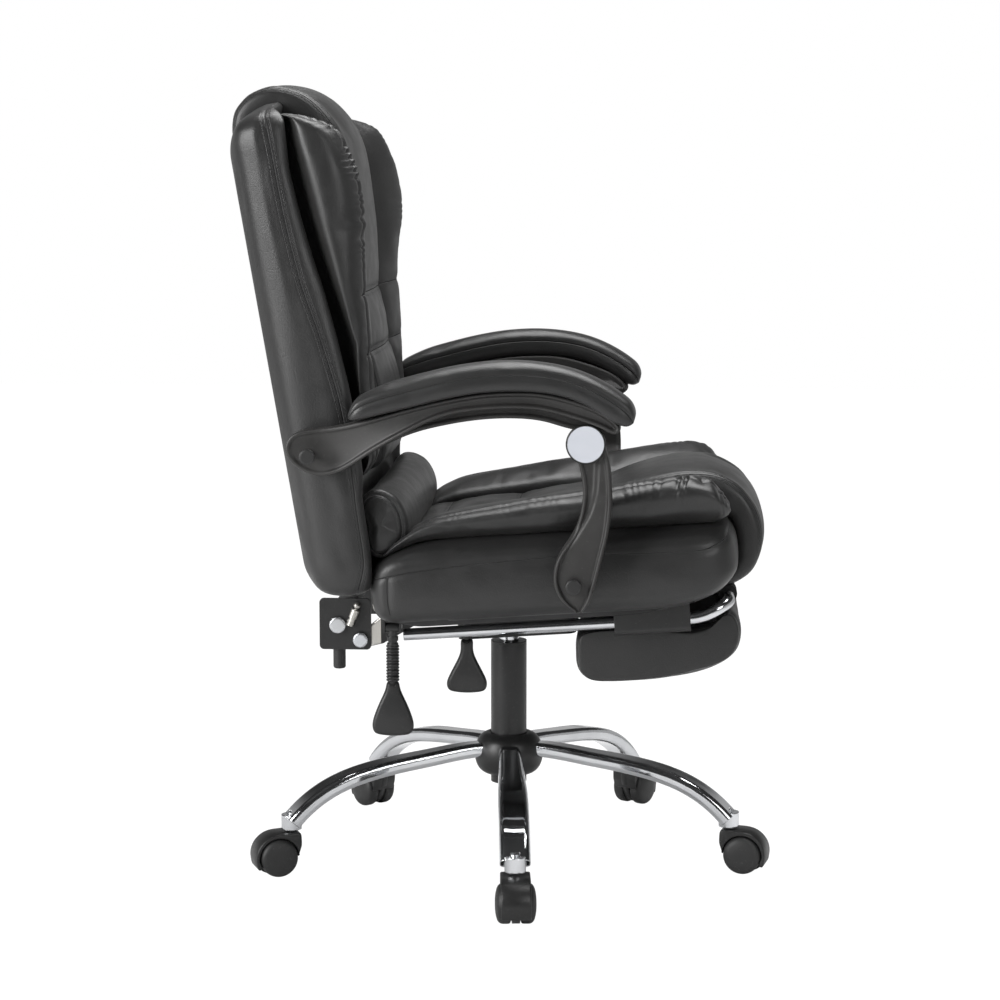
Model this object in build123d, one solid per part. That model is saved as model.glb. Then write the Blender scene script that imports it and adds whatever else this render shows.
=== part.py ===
from build123d import *

import os
from math import atan2, cos, degrees, radians, sin

# Reclining office chair with a footrest that slides out from under the seat and unfolds.
# Millimetres and degrees. Origin on the floor under the column, X forward, Y to the sitter's left, Z up.

# Clearances
running_fit = 0.05
seat_fit = 0.3
soft_gap = 0.4
side_gap = 0.4

# Casters
wheel_radius = 26.0
wheel_width = 19.0
wheel_edge = 4.0
wheel_dish_radius = 20.0
wheel_dish_depth = 1.5
wheel_bore_depth = 15.0
caster_trail = 22.0
web_thickness = 11.0
hood_radius = 34.0
hood_overhang = 1.5
hood_skirt = 8.0
wheel_room = 1.0
axle_radius = 4.0
stem_radius = 5.5
stem_length = 40.0
stem_boss_radius = 10.0

# Base
leg_count = 5
base_yaw = 5.1
caster_circle = 316.0
hub_radius = 48.0
hub_height = 58.0
hub_dome = 18.0
hub_foot = 6.0
hub_bottom = 116.0
leg_root_radius = 33.0
leg_root_width = 30.0
leg_width = 40.0
leg_thickness = 20.0
leg_corner = 7.0
leg_slope = 0.11
leg_knee = 5
socket_gap = 2.0
socket_radius = 14.0
socket_depth = 24.0

# Column
column_radius = 25.0
column_wall = 3.0
column_bottom = 104.0
column_gap = 20.0
bush_height = 34.0
bush_lip = 3.0
piston_radius = 14.0
piston_bottom = 122.0

# Seat, in a frame tilted front up about the column axis
seat_height = 384.0
seat_tilt = 4.0
body_width = 500.0
seat_front = 317.0
seat_rear = -166.0
seat_depth = 100.0
board_thickness = 12.0
board_margin = 18.0
board_front_gap = 60.0
board_rear_gap = 24.0
strap_half = 120.0
lobe_gap = 2.0
lobe_margin = 10.0
lobe_crest = 16.0
back_lobe_margin = 18.0

# Tilt housing under the seat
housing_rear = -70.0
housing_front = 92.0
housing_width = 140.0
housing_depth = 62.0
flange_rear = -95.0
flange_front = 125.0
flange_width = 220.0
flange_thickness = 5.0
housing_corner = 12.0
piston_recess = 4.0
bolt_radius = 4.0
bolt_head_radius = 7.5
bolt_head_height = 5.0
bolt_inset = 15.0
pivot_shank_radius = 5.0
pivot_head_radius = 10.0
pivot_head_height = 5.0

# Recline hinge behind the seat
hinge_x = -192.0
hinge_drop = 55.0
hinge_half_spacing = 126.0
bracket_thickness = 4.0
bracket_eye = 14.0
bracket_foot_rear = -146.0
bracket_foot_front = -98.0
bracket_foot_width = 30.0
bracket_foot_thickness = 5.0
plate_thickness = 4.0
plate_width = 70.0
plate_height = 70.0
plate_front_gap = 10.0
anchor_back = 31.0
anchor_rise = 20.0
anchor_radius = 11.0

# Back, in a frame that leans with its rear face
back_lean = 9.6
back_foot_back = 79.0
back_foot_rise = 26.0
shell_bulge = 20.0
shell_top = 627.0
shell_shoulder = 14.0
shell_hollow = 16.0
shell_rim = 8.0
upright_width = 160.0
upright_thickness = 5.0
upright_reach = 130.0
upright_inset = 40.0
upright_foot = 8.0
upright_bar_depth = 24.0
upright_bar_height = 8.0
upright_drop = 22.0

# Arms
arm_bolt_back = 47.0
arm_bolt_rise = 268.0
arm_pivot_x = 116.0
arm_pivot_rise = 231.0
arm_web = 13.6
arm_depth = 50.0
arm_pad_width = 62.0
arm_pad_crown = 7.0
arm_lug = 18.0
cap_radius = 25.5
cap_thickness = 6.0
pivot_pin_radius = 6.0
linkage_play = 3.3

# Arm posts
post_bolt_x = 101.0
post_bolt_rise = 47.0
post_thickness = 37.0
post_eye = 22.0
post_neck = 60.0

# Footrest
rail_half_spacing = 190.0
rail_drop = 28.0
tube_radius = 8.0
tube_wall = 1.5
rail_rear = -130.0
rail_front = 250.0
rail_bend = 70.0
rail_lift = 25.0
rail_corner = 25.0
guide_rear = 150.0
guide_front = 250.0
guide_width = 30.0
guide_depth = 44.0
rest_board_width = 300.0
rest_board_length = 170.0
rest_board_thickness = 8.0
rest_board_drop = 34.0
rest_pad_width = 340.0
rest_pad_depth = 63.0
rest_pad_margin = 14.0
rest_board_setback = 16.0
knuckle_width = 36.0
knuckle_wall = 4.0
knuckle_offset = 100.0

# Levers and knob
lever_pivot_drop = 15.0
lever_pin_radius = 3.0
lever_barrel = 6.5
lever_barrel_width = 18.0
lever_ear = 3.0
lever_ear_half = 7.0
lever_ear_tip = 6.0
lever_plate_half = 12.0
lever_plate_thickness = 4.0
recline_lever_x = -141.0
recline_lever_inset = 44.0
recline_stalk = 72.0
recline_stalk_radius = 7.5
stalk_ribs = 7
lift_lever_x = -47.0
lift_lever_inset = 100.0
lift_stalk = 44.0
lift_stalk_radius = 4.5
paddle_width = 55.0
paddle_length = 72.0
paddle_thickness = 10.0
paddle_neck = 18.0
paddle_socket = 8.0
knob_radius = 8.5
knob_length = 34.0
knob_screw_radius = 4.0
knob_tab = 22.0

# Release cable end
cable_barrel_radius = 5.5
cable_ferrule_radius = 4.5
cable_wire_radius = 2.0

# Values that follow from the sizes above
body_half = body_width / 2
arm_inner = body_half + side_gap
socket_bottom = wheel_radius + hood_radius + socket_gap
leg_root_height = hub_bottom + hub_height * 0.62
leg_end_height = socket_bottom + leg_thickness / 2
hub_top = hub_bottom + hub_height
column_top = seat_height - housing_depth - column_gap
leg_angles = [base_yaw - 90 + 360 * i / leg_count for i in range(leg_count)]
hinge_z = seat_height - hinge_drop
back_x = seat_rear - back_foot_back
back_z = seat_height + back_foot_rise
arm_bolt_x = hinge_x - arm_bolt_back
arm_bolt_z = hinge_z + arm_bolt_rise
arm_pivot_z = seat_height + arm_pivot_rise
post_bolt_z = seat_height + post_bolt_rise
plate_inner = hinge_half_spacing + bracket_thickness + 1
plate_outer = plate_inner + plate_thickness
post_eye_inner = arm_inner + arm_web + 0.6
post_outer = arm_inner + post_thickness + 2.6
recline_lever_y = recline_lever_inset - body_half
lift_lever_y = lift_lever_inset - body_half
seat_frame = Pos(0, 0, seat_height) * Rot(0, -seat_tilt, 0)
back_frame = Pos(back_x, 0, back_z) * Rot(0, -back_lean, 0)


# Plain shapes placed by their ends
def upright(radius, bottom, top, x=0, y=0):
    low = (Align.CENTER, Align.CENTER, Align.MIN)
    return Pos(x, y, bottom) * Cylinder(radius, top - bottom, align=low)


def crosswise(radius, y_start, y_end, x, z):
    return Pos(x, (y_start + y_end) / 2, z) * Rot(90, 0, 0) * Cylinder(radius, abs(y_end - y_start))


def lengthwise(radius, x_start, x_end, y, z):
    return Pos((x_start + x_end) / 2, y, z) * Rot(0, 90, 0) * Cylinder(radius, x_end - x_start)


def block(x_start, x_end, y_start, y_end, z_start, z_end):
    middle = Pos((x_start + x_end) / 2, (y_start + y_end) / 2, (z_start + z_end) / 2)
    return middle * Box(x_end - x_start, abs(y_end - y_start), z_end - z_start)


# Section planes: across Y in the X-Z plane, across X in the Y-Z plane
def plane_at_y(y):
    return Plane(origin=(0, y, 0), x_dir=(1, 0, 0), z_dir=(0, -1, 0))


def plane_at_x(x):
    return Plane(origin=(x, 0, 0), x_dir=(0, 1, 0), z_dir=(1, 0, 0))


# Closed outline, anticlockwise, whose sides rise outwards by the given amounts
def bowed_face(plane, corners, bows):
    edges = []
    for start, end, bow in zip(corners, corners[1:] + corners[:1], bows):
        a = Vector(*start)
        b = Vector(*end)
        if bow == 0:
            edges.append(Line(a, b))
            continue
        along = b - a
        outward = Vector(along.Y, -along.X).normalized()
        edges.append(ThreePointArc(a, (a + b) * 0.5 + outward * bow, b))
    return plane * make_face(edges)


# Solid with an X-Z outline, from one distance right of the middle plane to another
def right_slab(corners, bows, inner, outer):
    return extrude(bowed_face(plane_at_y(-inner), corners, bows), outer - inner)


def both_sides(right):
    return [right, mirror(right, about=Plane.XZ)]


# Outline drawn in by the same amount on every side
def shrink(corners, inset):
    us = [u for u, v in corners]
    vs = [v for u, v in corners]
    middle_u = (min(us) + max(us)) / 2
    middle_v = (min(vs) + max(vs)) / 2
    scale_u = 1 - 2 * inset / (max(us) - min(us))
    scale_v = 1 - 2 * inset / (max(vs) - min(vs))
    return [(middle_u + (u - middle_u) * scale_u, middle_v + (v - middle_v) * scale_v) for u, v in corners]


# Strip of padding along a base line: each pair is a point on the base and the pad's surface over it
def strap_outline(pairs, puff):
    outer = [(a + (c - a) * puff, b + (d - b) * puff) for (a, b), (c, d) in pairs]
    inner = [base for base, top in pairs]
    return outer + inner[::-1]


def strap_bows(bows):
    return bows + [0] * (len(bows) + 2)


def mirrored_stations(stations):
    return [(-y, value) for y, value in stations[::-1] if y > 0] + stations


# Height of the line through two points
def on_line(position, first, last):
    share = (position - first[0]) / (last[0] - first[0])
    return first[1] + (last[1] - first[1]) * share


def along_points(position, points):
    for first, last in zip(points, points[1:]):
        if position <= last[0]:
            return on_line(position, first, last)
    return on_line(position, points[-2], points[-1])


# Base: hub, legs and column
def make_hub():
    hub = upright(hub_radius, hub_bottom, hub_top)
    hub = fillet(hub.edges().group_by(Axis.Z)[-1], hub_dome)
    hub = fillet(hub.edges().group_by(Axis.Z)[0], hub_foot)
    hub -= upright(column_radius + running_fit, hub_bottom - 1, hub_top + 1)
    half_width = leg_root_width / 2 + seat_fit
    half_height = leg_thickness / 2 + seat_fit
    slot = block(
        leg_root_radius,
        hub_radius + 1,
        -half_width,
        half_width,
        leg_root_height - half_height,
        leg_root_height + half_height,
    )
    for angle in leg_angles:
        hub -= Rot(0, 0, angle) * slot
    return hub


# Leg centre line: level in the hub, then a gentle slope that steepens towards the caster
def leg_height(radius):
    start = hub_radius + 10
    if radius <= start:
        return leg_root_height
    span = caster_circle - start
    share = (radius - start) / span
    fall = leg_root_height - leg_end_height
    return leg_root_height - leg_slope * (radius - start) - (fall - leg_slope * span) * share**leg_knee


def make_leg():
    sections = []
    span = caster_circle - hub_radius
    stations = [leg_root_radius, hub_radius + 8] + [
        hub_radius + span * share for share in (0.24, 0.42, 0.58, 0.71, 0.81, 0.9, 0.96, 1.0)
    ]
    for radius in stations:
        slope = (leg_height(radius + 0.5) - leg_height(radius - 0.5)) / 1.0
        share = max(0.0, min(1.0, (radius - hub_radius) / (0.6 * span)))
        width = leg_root_width + (leg_width - leg_root_width) * share
        plane = Plane(origin=(radius, 0, leg_height(radius)), x_dir=(0, 1, 0), z_dir=(1, 0, slope))
        sections.append(plane * RectangleRounded(width, leg_thickness, leg_corner))
    leg = loft(sections)
    leg += upright(socket_radius, socket_bottom, leg_end_height + leg_thickness / 2, caster_circle)
    far = caster_circle + hub_radius
    leg -= block(0, far, -leg_width, leg_width, 0, socket_bottom)
    top = socket_bottom + socket_depth
    return leg - upright(stem_radius + running_fit, socket_bottom - 1, top, caster_circle)


def make_base_legs():
    leg = make_leg()
    return [Rot(0, 0, angle) * leg for angle in leg_angles]


def make_column_tube():
    tube = upright(column_radius, column_bottom, column_top)
    return tube - upright(column_radius - column_wall, column_bottom - 1, column_top + 1)


def make_column_bush():
    outer = column_radius - column_wall
    bush = upright(outer, column_top - bush_height, column_top)
    bush += upright(column_radius, column_top, column_top + bush_lip)
    bore_low = column_top - bush_height - 1
    return bush - upright(piston_radius + running_fit, bore_low, column_top + bush_lip + 1)


def make_gas_piston():
    return upright(piston_radius, piston_bottom, seat_height - flange_thickness - piston_recess)


# Casters, in a frame with the stem on the Z axis and the wheels trailing along X
def make_caster_hood():
    half = web_thickness / 2 + wheel_room / 2 + wheel_width + hood_overhang
    hood = crosswise(hood_radius, -half, half, caster_trail, wheel_radius)
    hood -= block(-hood_radius, 2 * hood_radius, -half, half, -hood_radius, wheel_radius - hood_skirt)
    boss_bottom = wheel_radius - hood_skirt
    hood += upright(stem_boss_radius, boss_bottom, wheel_radius + hood_radius)
    cavity = wheel_radius + wheel_room
    for side in (-1, 1):
        hood -= crosswise(cavity, side * web_thickness / 2, side * (half + 1), caster_trail, wheel_radius)
    hood -= crosswise(axle_radius + running_fit, -half, half, caster_trail, wheel_radius)
    bore_bottom = socket_bottom + socket_depth - 1 - stem_length
    return hood - upright(stem_radius + running_fit, bore_bottom, wheel_radius + hood_radius + 1)


def make_caster_pins():
    top = socket_bottom + socket_depth - 1
    stem = upright(stem_radius, top - stem_length, top)
    reach = web_thickness / 2 + wheel_room / 2 + wheel_bore_depth - 1
    axle = crosswise(axle_radius, -reach, reach, caster_trail, wheel_radius)
    return [stem, axle]


def make_wheel(side):
    inner = web_thickness / 2 + wheel_room / 2
    outer = inner + wheel_width
    wheel = crosswise(wheel_radius, inner, outer, caster_trail, wheel_radius)
    wheel = fillet(wheel.edges().filter_by(GeomType.CIRCLE), wheel_edge)
    wheel -= crosswise(wheel_dish_radius, outer - wheel_dish_depth, outer + 1, caster_trail, wheel_radius)
    wheel -= crosswise(
        axle_radius + running_fit, inner - 1, inner + wheel_bore_depth, caster_trail, wheel_radius
    )
    return wheel if side > 0 else mirror(wheel, about=Plane.XZ)


# Tilt housing and its bolts, in the seat frame apart from the upright piston bore
def flange_bolt_places():
    xs = (flange_rear + bolt_inset, flange_front - bolt_inset)
    ys = (-flange_width / 2 + bolt_inset, flange_width / 2 - bolt_inset)
    return [(x, y) for x in xs for y in ys]


def make_mechanism_housing():
    half = housing_width / 2
    top = -seat_fit
    body = block(housing_rear, housing_front, -half, half, -housing_depth, top)
    body = fillet(body.edges().filter_by(Axis.Z), housing_corner)
    wing = flange_width / 2
    body += block(flange_rear, flange_front, -wing, wing, top - flange_thickness, top)
    for x, y in flange_bolt_places():
        body -= upright(bolt_radius + seat_fit, -flange_thickness - 2, top + 1, x, y)
    bore_top = seat_height - flange_thickness - piston_recess + 1
    bore = upright(piston_radius + running_fit, seat_height - 2 * housing_depth, bore_top)
    return seat_frame * body - bore


def make_mechanism_bolts():
    bolts = []
    for x, y in flange_bolt_places():
        under = -seat_fit - flange_thickness
        bolt = upright(bolt_head_radius, under - bolt_head_height, under, x, y)
        bolt += upright(bolt_radius, under, board_thickness - 1, x, y)
        bolts.append(seat_frame * bolt)
    return bolts


def make_seat_board():
    half = body_half - board_margin
    board = block(seat_rear + board_rear_gap, seat_front - board_front_gap, -half, half, 0, board_thickness)
    for x, y in flange_bolt_places():
        board -= upright(bolt_radius + seat_fit, -1, board_thickness + 1, x, y)
    return seat_frame * board


# Seat cushions
def seat_corners():
    return [
        (seat_rear + 16, 0),
        (seat_front - 55, 0),
        (seat_front - 17, 14),
        (seat_front, 40),
        (seat_front - 5, seat_depth - 8),
        (seat_front - 32, seat_depth),
        (seat_rear + 91, seat_depth),
        (seat_rear + 14, seat_depth - 26),
        (seat_rear, 30),
    ]


seat_bows = [0, 0, 0, 0, 0, 0, 6, 4, 4]


def make_seat_base():
    stations = mirrored_stations([(body_half - 18, 0), (body_half - 6, 5), (body_half, 14)])
    sections = [
        bowed_face(plane_at_y(y), shrink(seat_corners(), inset), seat_bows) for y, inset in stations
    ]
    cushion = loft(sections, ruled=True)
    half = body_half - board_margin + seat_fit
    cushion -= block(
        seat_rear + board_rear_gap - seat_fit,
        seat_front - board_front_gap + seat_fit,
        -half,
        half,
        -1,
        board_thickness + seat_fit,
    )
    cushion = seat_frame * cushion
    for side in (-1, 1):
        deep = side * (body_half - 30)
        cushion -= crosswise(pivot_shank_radius + seat_fit, deep, side * body_half, post_bolt_x, post_bolt_z)
    return cushion


# Centre strap of the seat: thin with two cross seams behind, full over the front edge
def seat_strap_pairs():
    top = seat_depth + soft_gap
    front = seat_front + soft_gap
    return [
        ((front - 16.6, 13.3), (seat_front - 10, 5)),
        ((front, 39.8), (seat_front + 23, 27)),
        ((front - 2.1, 62), (seat_front + 31, 64)),
        ((front - 4.9, top - 8), (seat_front + 24, top + 4)),
        ((front - 18.5, top - 3.8), (seat_front + 1, top + 37)),
        ((front - 31.9, top), (seat_front - 33, top + 54)),
        ((front - 91, top), (seat_front - 91, top + 53)),
        ((seat_front - 197, top), (seat_front - 197, top + 23)),
        ((seat_front - 297, top), (seat_front - 297, top + 12)),
        ((seat_front - 397, top), (seat_front - 397, top + 9)),
        ((seat_front - 429, top), (seat_front - 427, top + 4)),
    ]


seat_strap_bows = [5, 3, 3, 3, 5, 3, 4, 4, 4, 2]


def make_seat_strap():
    fullness = [(0, 1.0), (strap_half - 30, 0.96), (strap_half - 8, 0.8), (strap_half, 0.5)]
    stations = mirrored_stations(fullness)
    sections = [
        bowed_face(plane_at_y(y), strap_outline(seat_strap_pairs(), puff), strap_bows(seat_strap_bows))
        for y, puff in stations
    ]
    return seat_frame * loft(sections, ruled=True)


# Puffy side pad of the seat: low behind, high at the knee, drawn in at both ends
def make_seat_lobe():
    base = seat_depth + soft_gap
    inner = strap_half + lobe_gap
    outer = body_half - lobe_margin
    rear = [(44, 6), (58, 20)]
    front = [(257, 40), (117, 58), (59, 63), (31, 50), (14, 24), (10, 8)]
    stations = [(seat_rear + x, height) for x, height in rear]
    stations += [(seat_front - x, height) for x, height in front]
    sections = []
    for x, height in stations:
        corners = [
            (-outer, base),
            (-inner, base),
            (-inner - 3, base + 0.52 * height),
            (-outer + lobe_crest, base + 0.97 * height),
        ]
        bows = [0, 0.03 * height, 0.05 * height, 0.12 * height]
        sections.append(bowed_face(plane_at_x(x), corners, bows))
    return seat_frame * loft(sections, ruled=True)


# Back cushions, in the back frame: shell corners from the foot up the front, over the top, down the rear
shell_foot_front = 104
shell_front = [(10, 78), (104, 80), (130, 108), (215, 122), (332, 112), (392, 105.5), (465, 90), (555, 82)]


def shell_corners(y, drop, inset, hollow):
    bulge = shell_bulge * (1 - (y / body_half) ** 2)
    crest = shell_top
    corners = [(12 - bulge, -4), (66, -8)]
    corners += [(x - hollow if z > shell_foot_front else x, z) for z, x in shell_front]
    corners += [(80, crest - 17), (50, crest), (12 - bulge, crest - 15), (-bulge, crest - 42), (-bulge, 28)]
    bend = 465
    lowered = []
    for x, z in corners:
        height = z
        if z > bend:
            height = bend + (z - bend) * (1 - drop / (crest - bend))
        lowered.append((x, height))
    return shrink(lowered, inset)


def make_back_shell():
    stations = mirrored_stations(
        [
            (0, (0, 0, shell_hollow)),
            (strap_half, (0, 0, shell_hollow)),
            (body_half - 2 * shell_rim, (0, 0, shell_hollow)),
            (body_half - shell_rim, (shell_shoulder * 0.5, 4, 0)),
            (body_half, (shell_shoulder, 13, 0)),
        ]
    )
    bows = [0] * len(shell_corners(0, 0, 0, 0))
    sections = [bowed_face(plane_at_y(y), shell_corners(y, *soft), bows) for y, soft in stations]
    shell = loft(sections, ruled=True)
    wide = upright_width / 2 + seat_fit
    shell -= block(
        upright_inset - seat_fit,
        upright_inset + upright_thickness + seat_fit,
        -wide,
        wide,
        -20,
        upright_reach + seat_fit,
    )
    shell = back_frame * shell
    for side in (-1, 1):
        deep = side * (body_half - 30)
        shell -= crosswise(pivot_shank_radius + seat_fit, deep, side * body_half, arm_bolt_x, arm_bolt_z)
    return shell


# Front of the shell between its side rims
def shell_front_at(z):
    hollowed = [(level, x - shell_hollow) for level, x in shell_front if level > shell_foot_front]
    return along_points(z, hollowed + [(shell_top - 17, 80)])


# Centre strap of the back: two cross seams, full at the head, over the top and a little way down the rear
def back_strap_pairs(y):
    rear = -shell_bulge * (1 - (y / body_half) ** 2) - soft_gap
    top = shell_top + soft_gap
    front = [(131, 108), (215, 126), (332, 117), (392, 114), (465, 127), (555, 131)]
    pairs = [((shell_front_at(z) + soft_gap, z), (x, z)) for z, x in front]
    return pairs + [
        ((80 + soft_gap, top - 16.6), (118, top - 17)),
        ((50, top), (62, top + 29)),
        ((12 + rear - 0.4, top - 14.6), (-8, top + 19)),
        ((rear, top - 42), (-31, top - 22)),
        ((rear, top - 107), (-27, top - 107)),
    ]


back_strap_bows = [4, 6, 5, 3, 2, 4, 6, 8, 7, 1]


def make_back_strap():
    fullness = [(0, 1.0), (strap_half - 35, 0.97), (strap_half - 10, 0.82), (strap_half, 0.5)]
    stations = mirrored_stations(fullness)
    sections = [
        bowed_face(plane_at_y(y), strap_outline(back_strap_pairs(y), puff), strap_bows(back_strap_bows))
        for y, puff in stations
    ]
    return back_frame * loft(sections, ruled=True)


# Puffy side pad of the back: thin at the waist, full beside the head, pinched at the two cross seams
def make_back_lobe():
    inner = strap_half + lobe_gap
    outer = body_half - back_lobe_margin
    stations = [
        (133, 12),
        (165, 18),
        (215, 20),
        (275, 27),
        (332, 33),
        (362, 45),
        (392, 50),
        (465, 74),
        (520, 79),
        (555, 77),
        (585, 62),
        (604, 34),
        (608, 16),
    ]
    sections = []
    for z, depth in stations:
        rear = shell_front_at(z) + soft_gap
        corners = [
            (rear, -outer),
            (rear + 0.97 * depth, -outer + lobe_crest),
            (rear + 0.55 * depth, -inner - 3),
            (rear, -inner),
        ]
        bows = [0.1 * depth, 0.05 * depth, 0.03 * depth, 0]
        sections.append(bowed_face(Plane.XY.offset(z), corners, bows))
    return back_frame * loft(sections, ruled=True)


# Lumbar roll: D-shaped across, fuller in the middle
def make_lumbar_roll():
    rear = 80 + soft_gap
    low = 29
    corners = [(rear, low), (110, 36), (130, 66), (121, 104), (97, 115), (rear, 101)]
    stations = mirrored_stations([(0, 1.06), (150, 1.0), (205, 0.97), (215, 0.82)])
    sections = []
    for y, puff in stations:
        middle = 66
        puffed = [(rear + (x - rear) * puff, middle + (z - middle) * min(puff, 1.0)) for x, z in corners]
        sections.append(bowed_face(plane_at_y(y), puffed, [3, 5, 5, 4, 0, 0]))
    return back_frame * loft(sections, ruled=True)


# Hinge between seat and back
def make_seat_hinge_brackets():
    under = seat_height - seat_fit
    tip = bracket_eye
    corners = [
        (hinge_x - 2, hinge_z - tip),
        (hinge_x + 30, hinge_z - tip + 8),
        (bracket_foot_front + 2, under - 22),
        (bracket_foot_front + 2, under - 8),
        (bracket_foot_rear - 4, under - 12),
        (hinge_x + 6, hinge_z + tip),
    ]
    web = right_slab(corners, [0] * 6, hinge_half_spacing, hinge_half_spacing + bracket_thickness)
    web += crosswise(
        tip, -hinge_half_spacing, -hinge_half_spacing - bracket_thickness, hinge_x, hinge_z
    )
    web += seat_frame * block(
        bracket_foot_rear,
        bracket_foot_front,
        -hinge_half_spacing - bracket_thickness,
        -hinge_half_spacing + bracket_foot_width,
        -bracket_foot_thickness,
        -seat_fit,
    )
    web -= crosswise(
        pivot_shank_radius + running_fit, -hinge_half_spacing + 1, -plate_outer, hinge_x, hinge_z
    )
    return both_sides(web)


def make_pivot_bolts():
    hinge = crosswise(pivot_shank_radius, -hinge_half_spacing + 6, -plate_outer - 1, hinge_x, hinge_z)
    hinge += crosswise(
        pivot_head_radius, -plate_outer - 1, -plate_outer - 1 - pivot_head_height, hinge_x, hinge_z
    )
    inside = -hinge_half_spacing
    hinge += crosswise(pivot_head_radius, inside + 6, inside + 0.3, hinge_x, hinge_z)
    post = crosswise(pivot_shank_radius, -body_half + 29, -post_outer - 0.5, post_bolt_x, post_bolt_z)
    post += crosswise(
        pivot_head_radius, -post_outer - 0.5, -post_outer - 0.5 - pivot_head_height, post_bolt_x, post_bolt_z
    )
    return both_sides(hinge) + both_sides(post)


def make_back_hinge_plates():
    rear = hinge_x + 14 - plate_width
    low = hinge_z - plate_front_gap
    plate = block(rear, hinge_x + 14, -plate_inner, -plate_outer, low - 4, low - 4 + plate_height)
    plate = fillet(plate.edges().filter_by(Axis.Y), 6)
    plate -= crosswise(pivot_shank_radius + running_fit, -plate_inner + 1, -plate_outer - 1, hinge_x, hinge_z)
    anchor = (hinge_x - anchor_back, hinge_z + anchor_rise)
    plate -= crosswise(bolt_radius + running_fit, -plate_inner + 1, -plate_outer - 1, *anchor)
    left = mirror(plate, about=Plane.XZ)
    middle = hinge_x - anchor_back
    tab = block(middle - 14, middle + 14, -plate_inner, -plate_inner + knob_tab, low - 4 + 6, low + 6)
    tab -= upright(knob_screw_radius + running_fit, low - 10, low + 10, middle, -plate_inner + knob_tab / 2)
    return [plate + tab, left]


def make_back_upright():
    strap = block(
        upright_inset,
        upright_inset + upright_thickness,
        -upright_width / 2,
        upright_width / 2,
        -upright_foot - upright_drop - 2,
        upright_reach,
    )
    bar = block(
        upright_inset - upright_bar_depth,
        upright_inset + upright_thickness,
        -plate_inner,
        plate_inner,
        -upright_foot - upright_drop - upright_bar_height,
        -upright_foot - upright_drop,
    )
    return back_frame * (strap + bar)


def make_back_bolts():
    anchor = (hinge_x - anchor_back, hinge_z + anchor_rise)
    shank = crosswise(bolt_radius, -plate_inner + 5, -plate_outer, *anchor)
    shank += crosswise(anchor_radius, -plate_outer, -plate_outer - bolt_head_height, *anchor)
    arm_outer = arm_inner + arm_depth
    arm = crosswise(pivot_shank_radius, -body_half + 29, -arm_outer - 0.5, arm_bolt_x, arm_bolt_z)
    arm += crosswise(
        pivot_head_radius, -arm_outer - 0.5, -arm_outer - 0.5 - pivot_head_height, arm_bolt_x, arm_bolt_z
    )
    return both_sides(shank) + both_sides(arm)


# Release cable end on the near hinge plate: ball, barrel and ferrule on a short wire
def make_cable_fitting():
    side = -plate_outer - 6
    top = (hinge_x - 4, hinge_z + 47)
    foot = (hinge_x - 14, hinge_z + 20)
    tilt = degrees(atan2(top[0] - foot[0], top[1] - foot[1]))
    at_foot = Pos(foot[0], side, foot[1]) * Rot(0, tilt, 0)
    fitting = at_foot * upright(cable_ferrule_radius, 0, 11)
    fitting += at_foot * upright(cable_barrel_radius, 11, 23)
    fitting += at_foot * upright(cable_wire_radius, 23, 30)
    fitting += Pos(top[0], side, top[1]) * Sphere(cable_ferrule_radius)
    clip = block(foot[0] - 3, foot[0] + 3, side, -plate_outer, foot[1] + 2, foot[1] + 8)
    return fitting + clip


def make_tension_knob():
    middle = hinge_x - anchor_back
    side = -plate_inner + knob_tab / 2
    under = hinge_z - plate_front_gap + 2
    knob = upright(knob_radius, under - 0.5 - knob_length, under - 0.5, middle, side)
    knob = fillet(knob.edges().group_by(Axis.Z)[0], 3)
    return knob + upright(knob_screw_radius, under - 0.5, under + 12, middle, side)


# Arms: heights of the pad's underside along its length, above the seat frame's origin
pad_under = [
    (-182, 257),
    (-165, 263),
    (-117, 275),
    (-65, 288),
    (-13, 297),
    (28, 299),
    (64, 297),
    (102, 288),
    (141, 269),
    (164, 253),
    (176, 249),
]
pad_depth = [11, 26, 33, 33, 33, 34, 34, 33, 31, 31, 16]


def make_arm_pad():
    sections = []
    inner = -arm_inner - 3
    outer = inner - arm_pad_width
    for (x, under), depth in zip(pad_under, pad_depth):
        low = seat_height + under
        crown = arm_pad_crown * depth / 34
        brim = low + depth - crown
        corners = [(outer + 3, low), (inner - 3, low), (inner, brim), (outer, brim)]
        sections.append(bowed_face(plane_at_x(x), corners, [0, 1.5, crown, 1.5]))
    return loft(sections, ruled=True)


def arm_top_corners():
    heights = [(x, seat_height + under - seat_fit) for x, under in pad_under[:-1]]
    return heights[::-1]


def arm_rear_corners():
    return [
        (-213, arm_bolt_z + 33),
        (-258, arm_bolt_z + 28),
        (-271, arm_bolt_z + 17),
        (-268, arm_bolt_z - 4),
        (-250, arm_bolt_z - 21),
        (-227, arm_bolt_z - 28),
        (-196, arm_bolt_z - 19),
        (-157, arm_bolt_z + 4),
    ]


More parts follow.
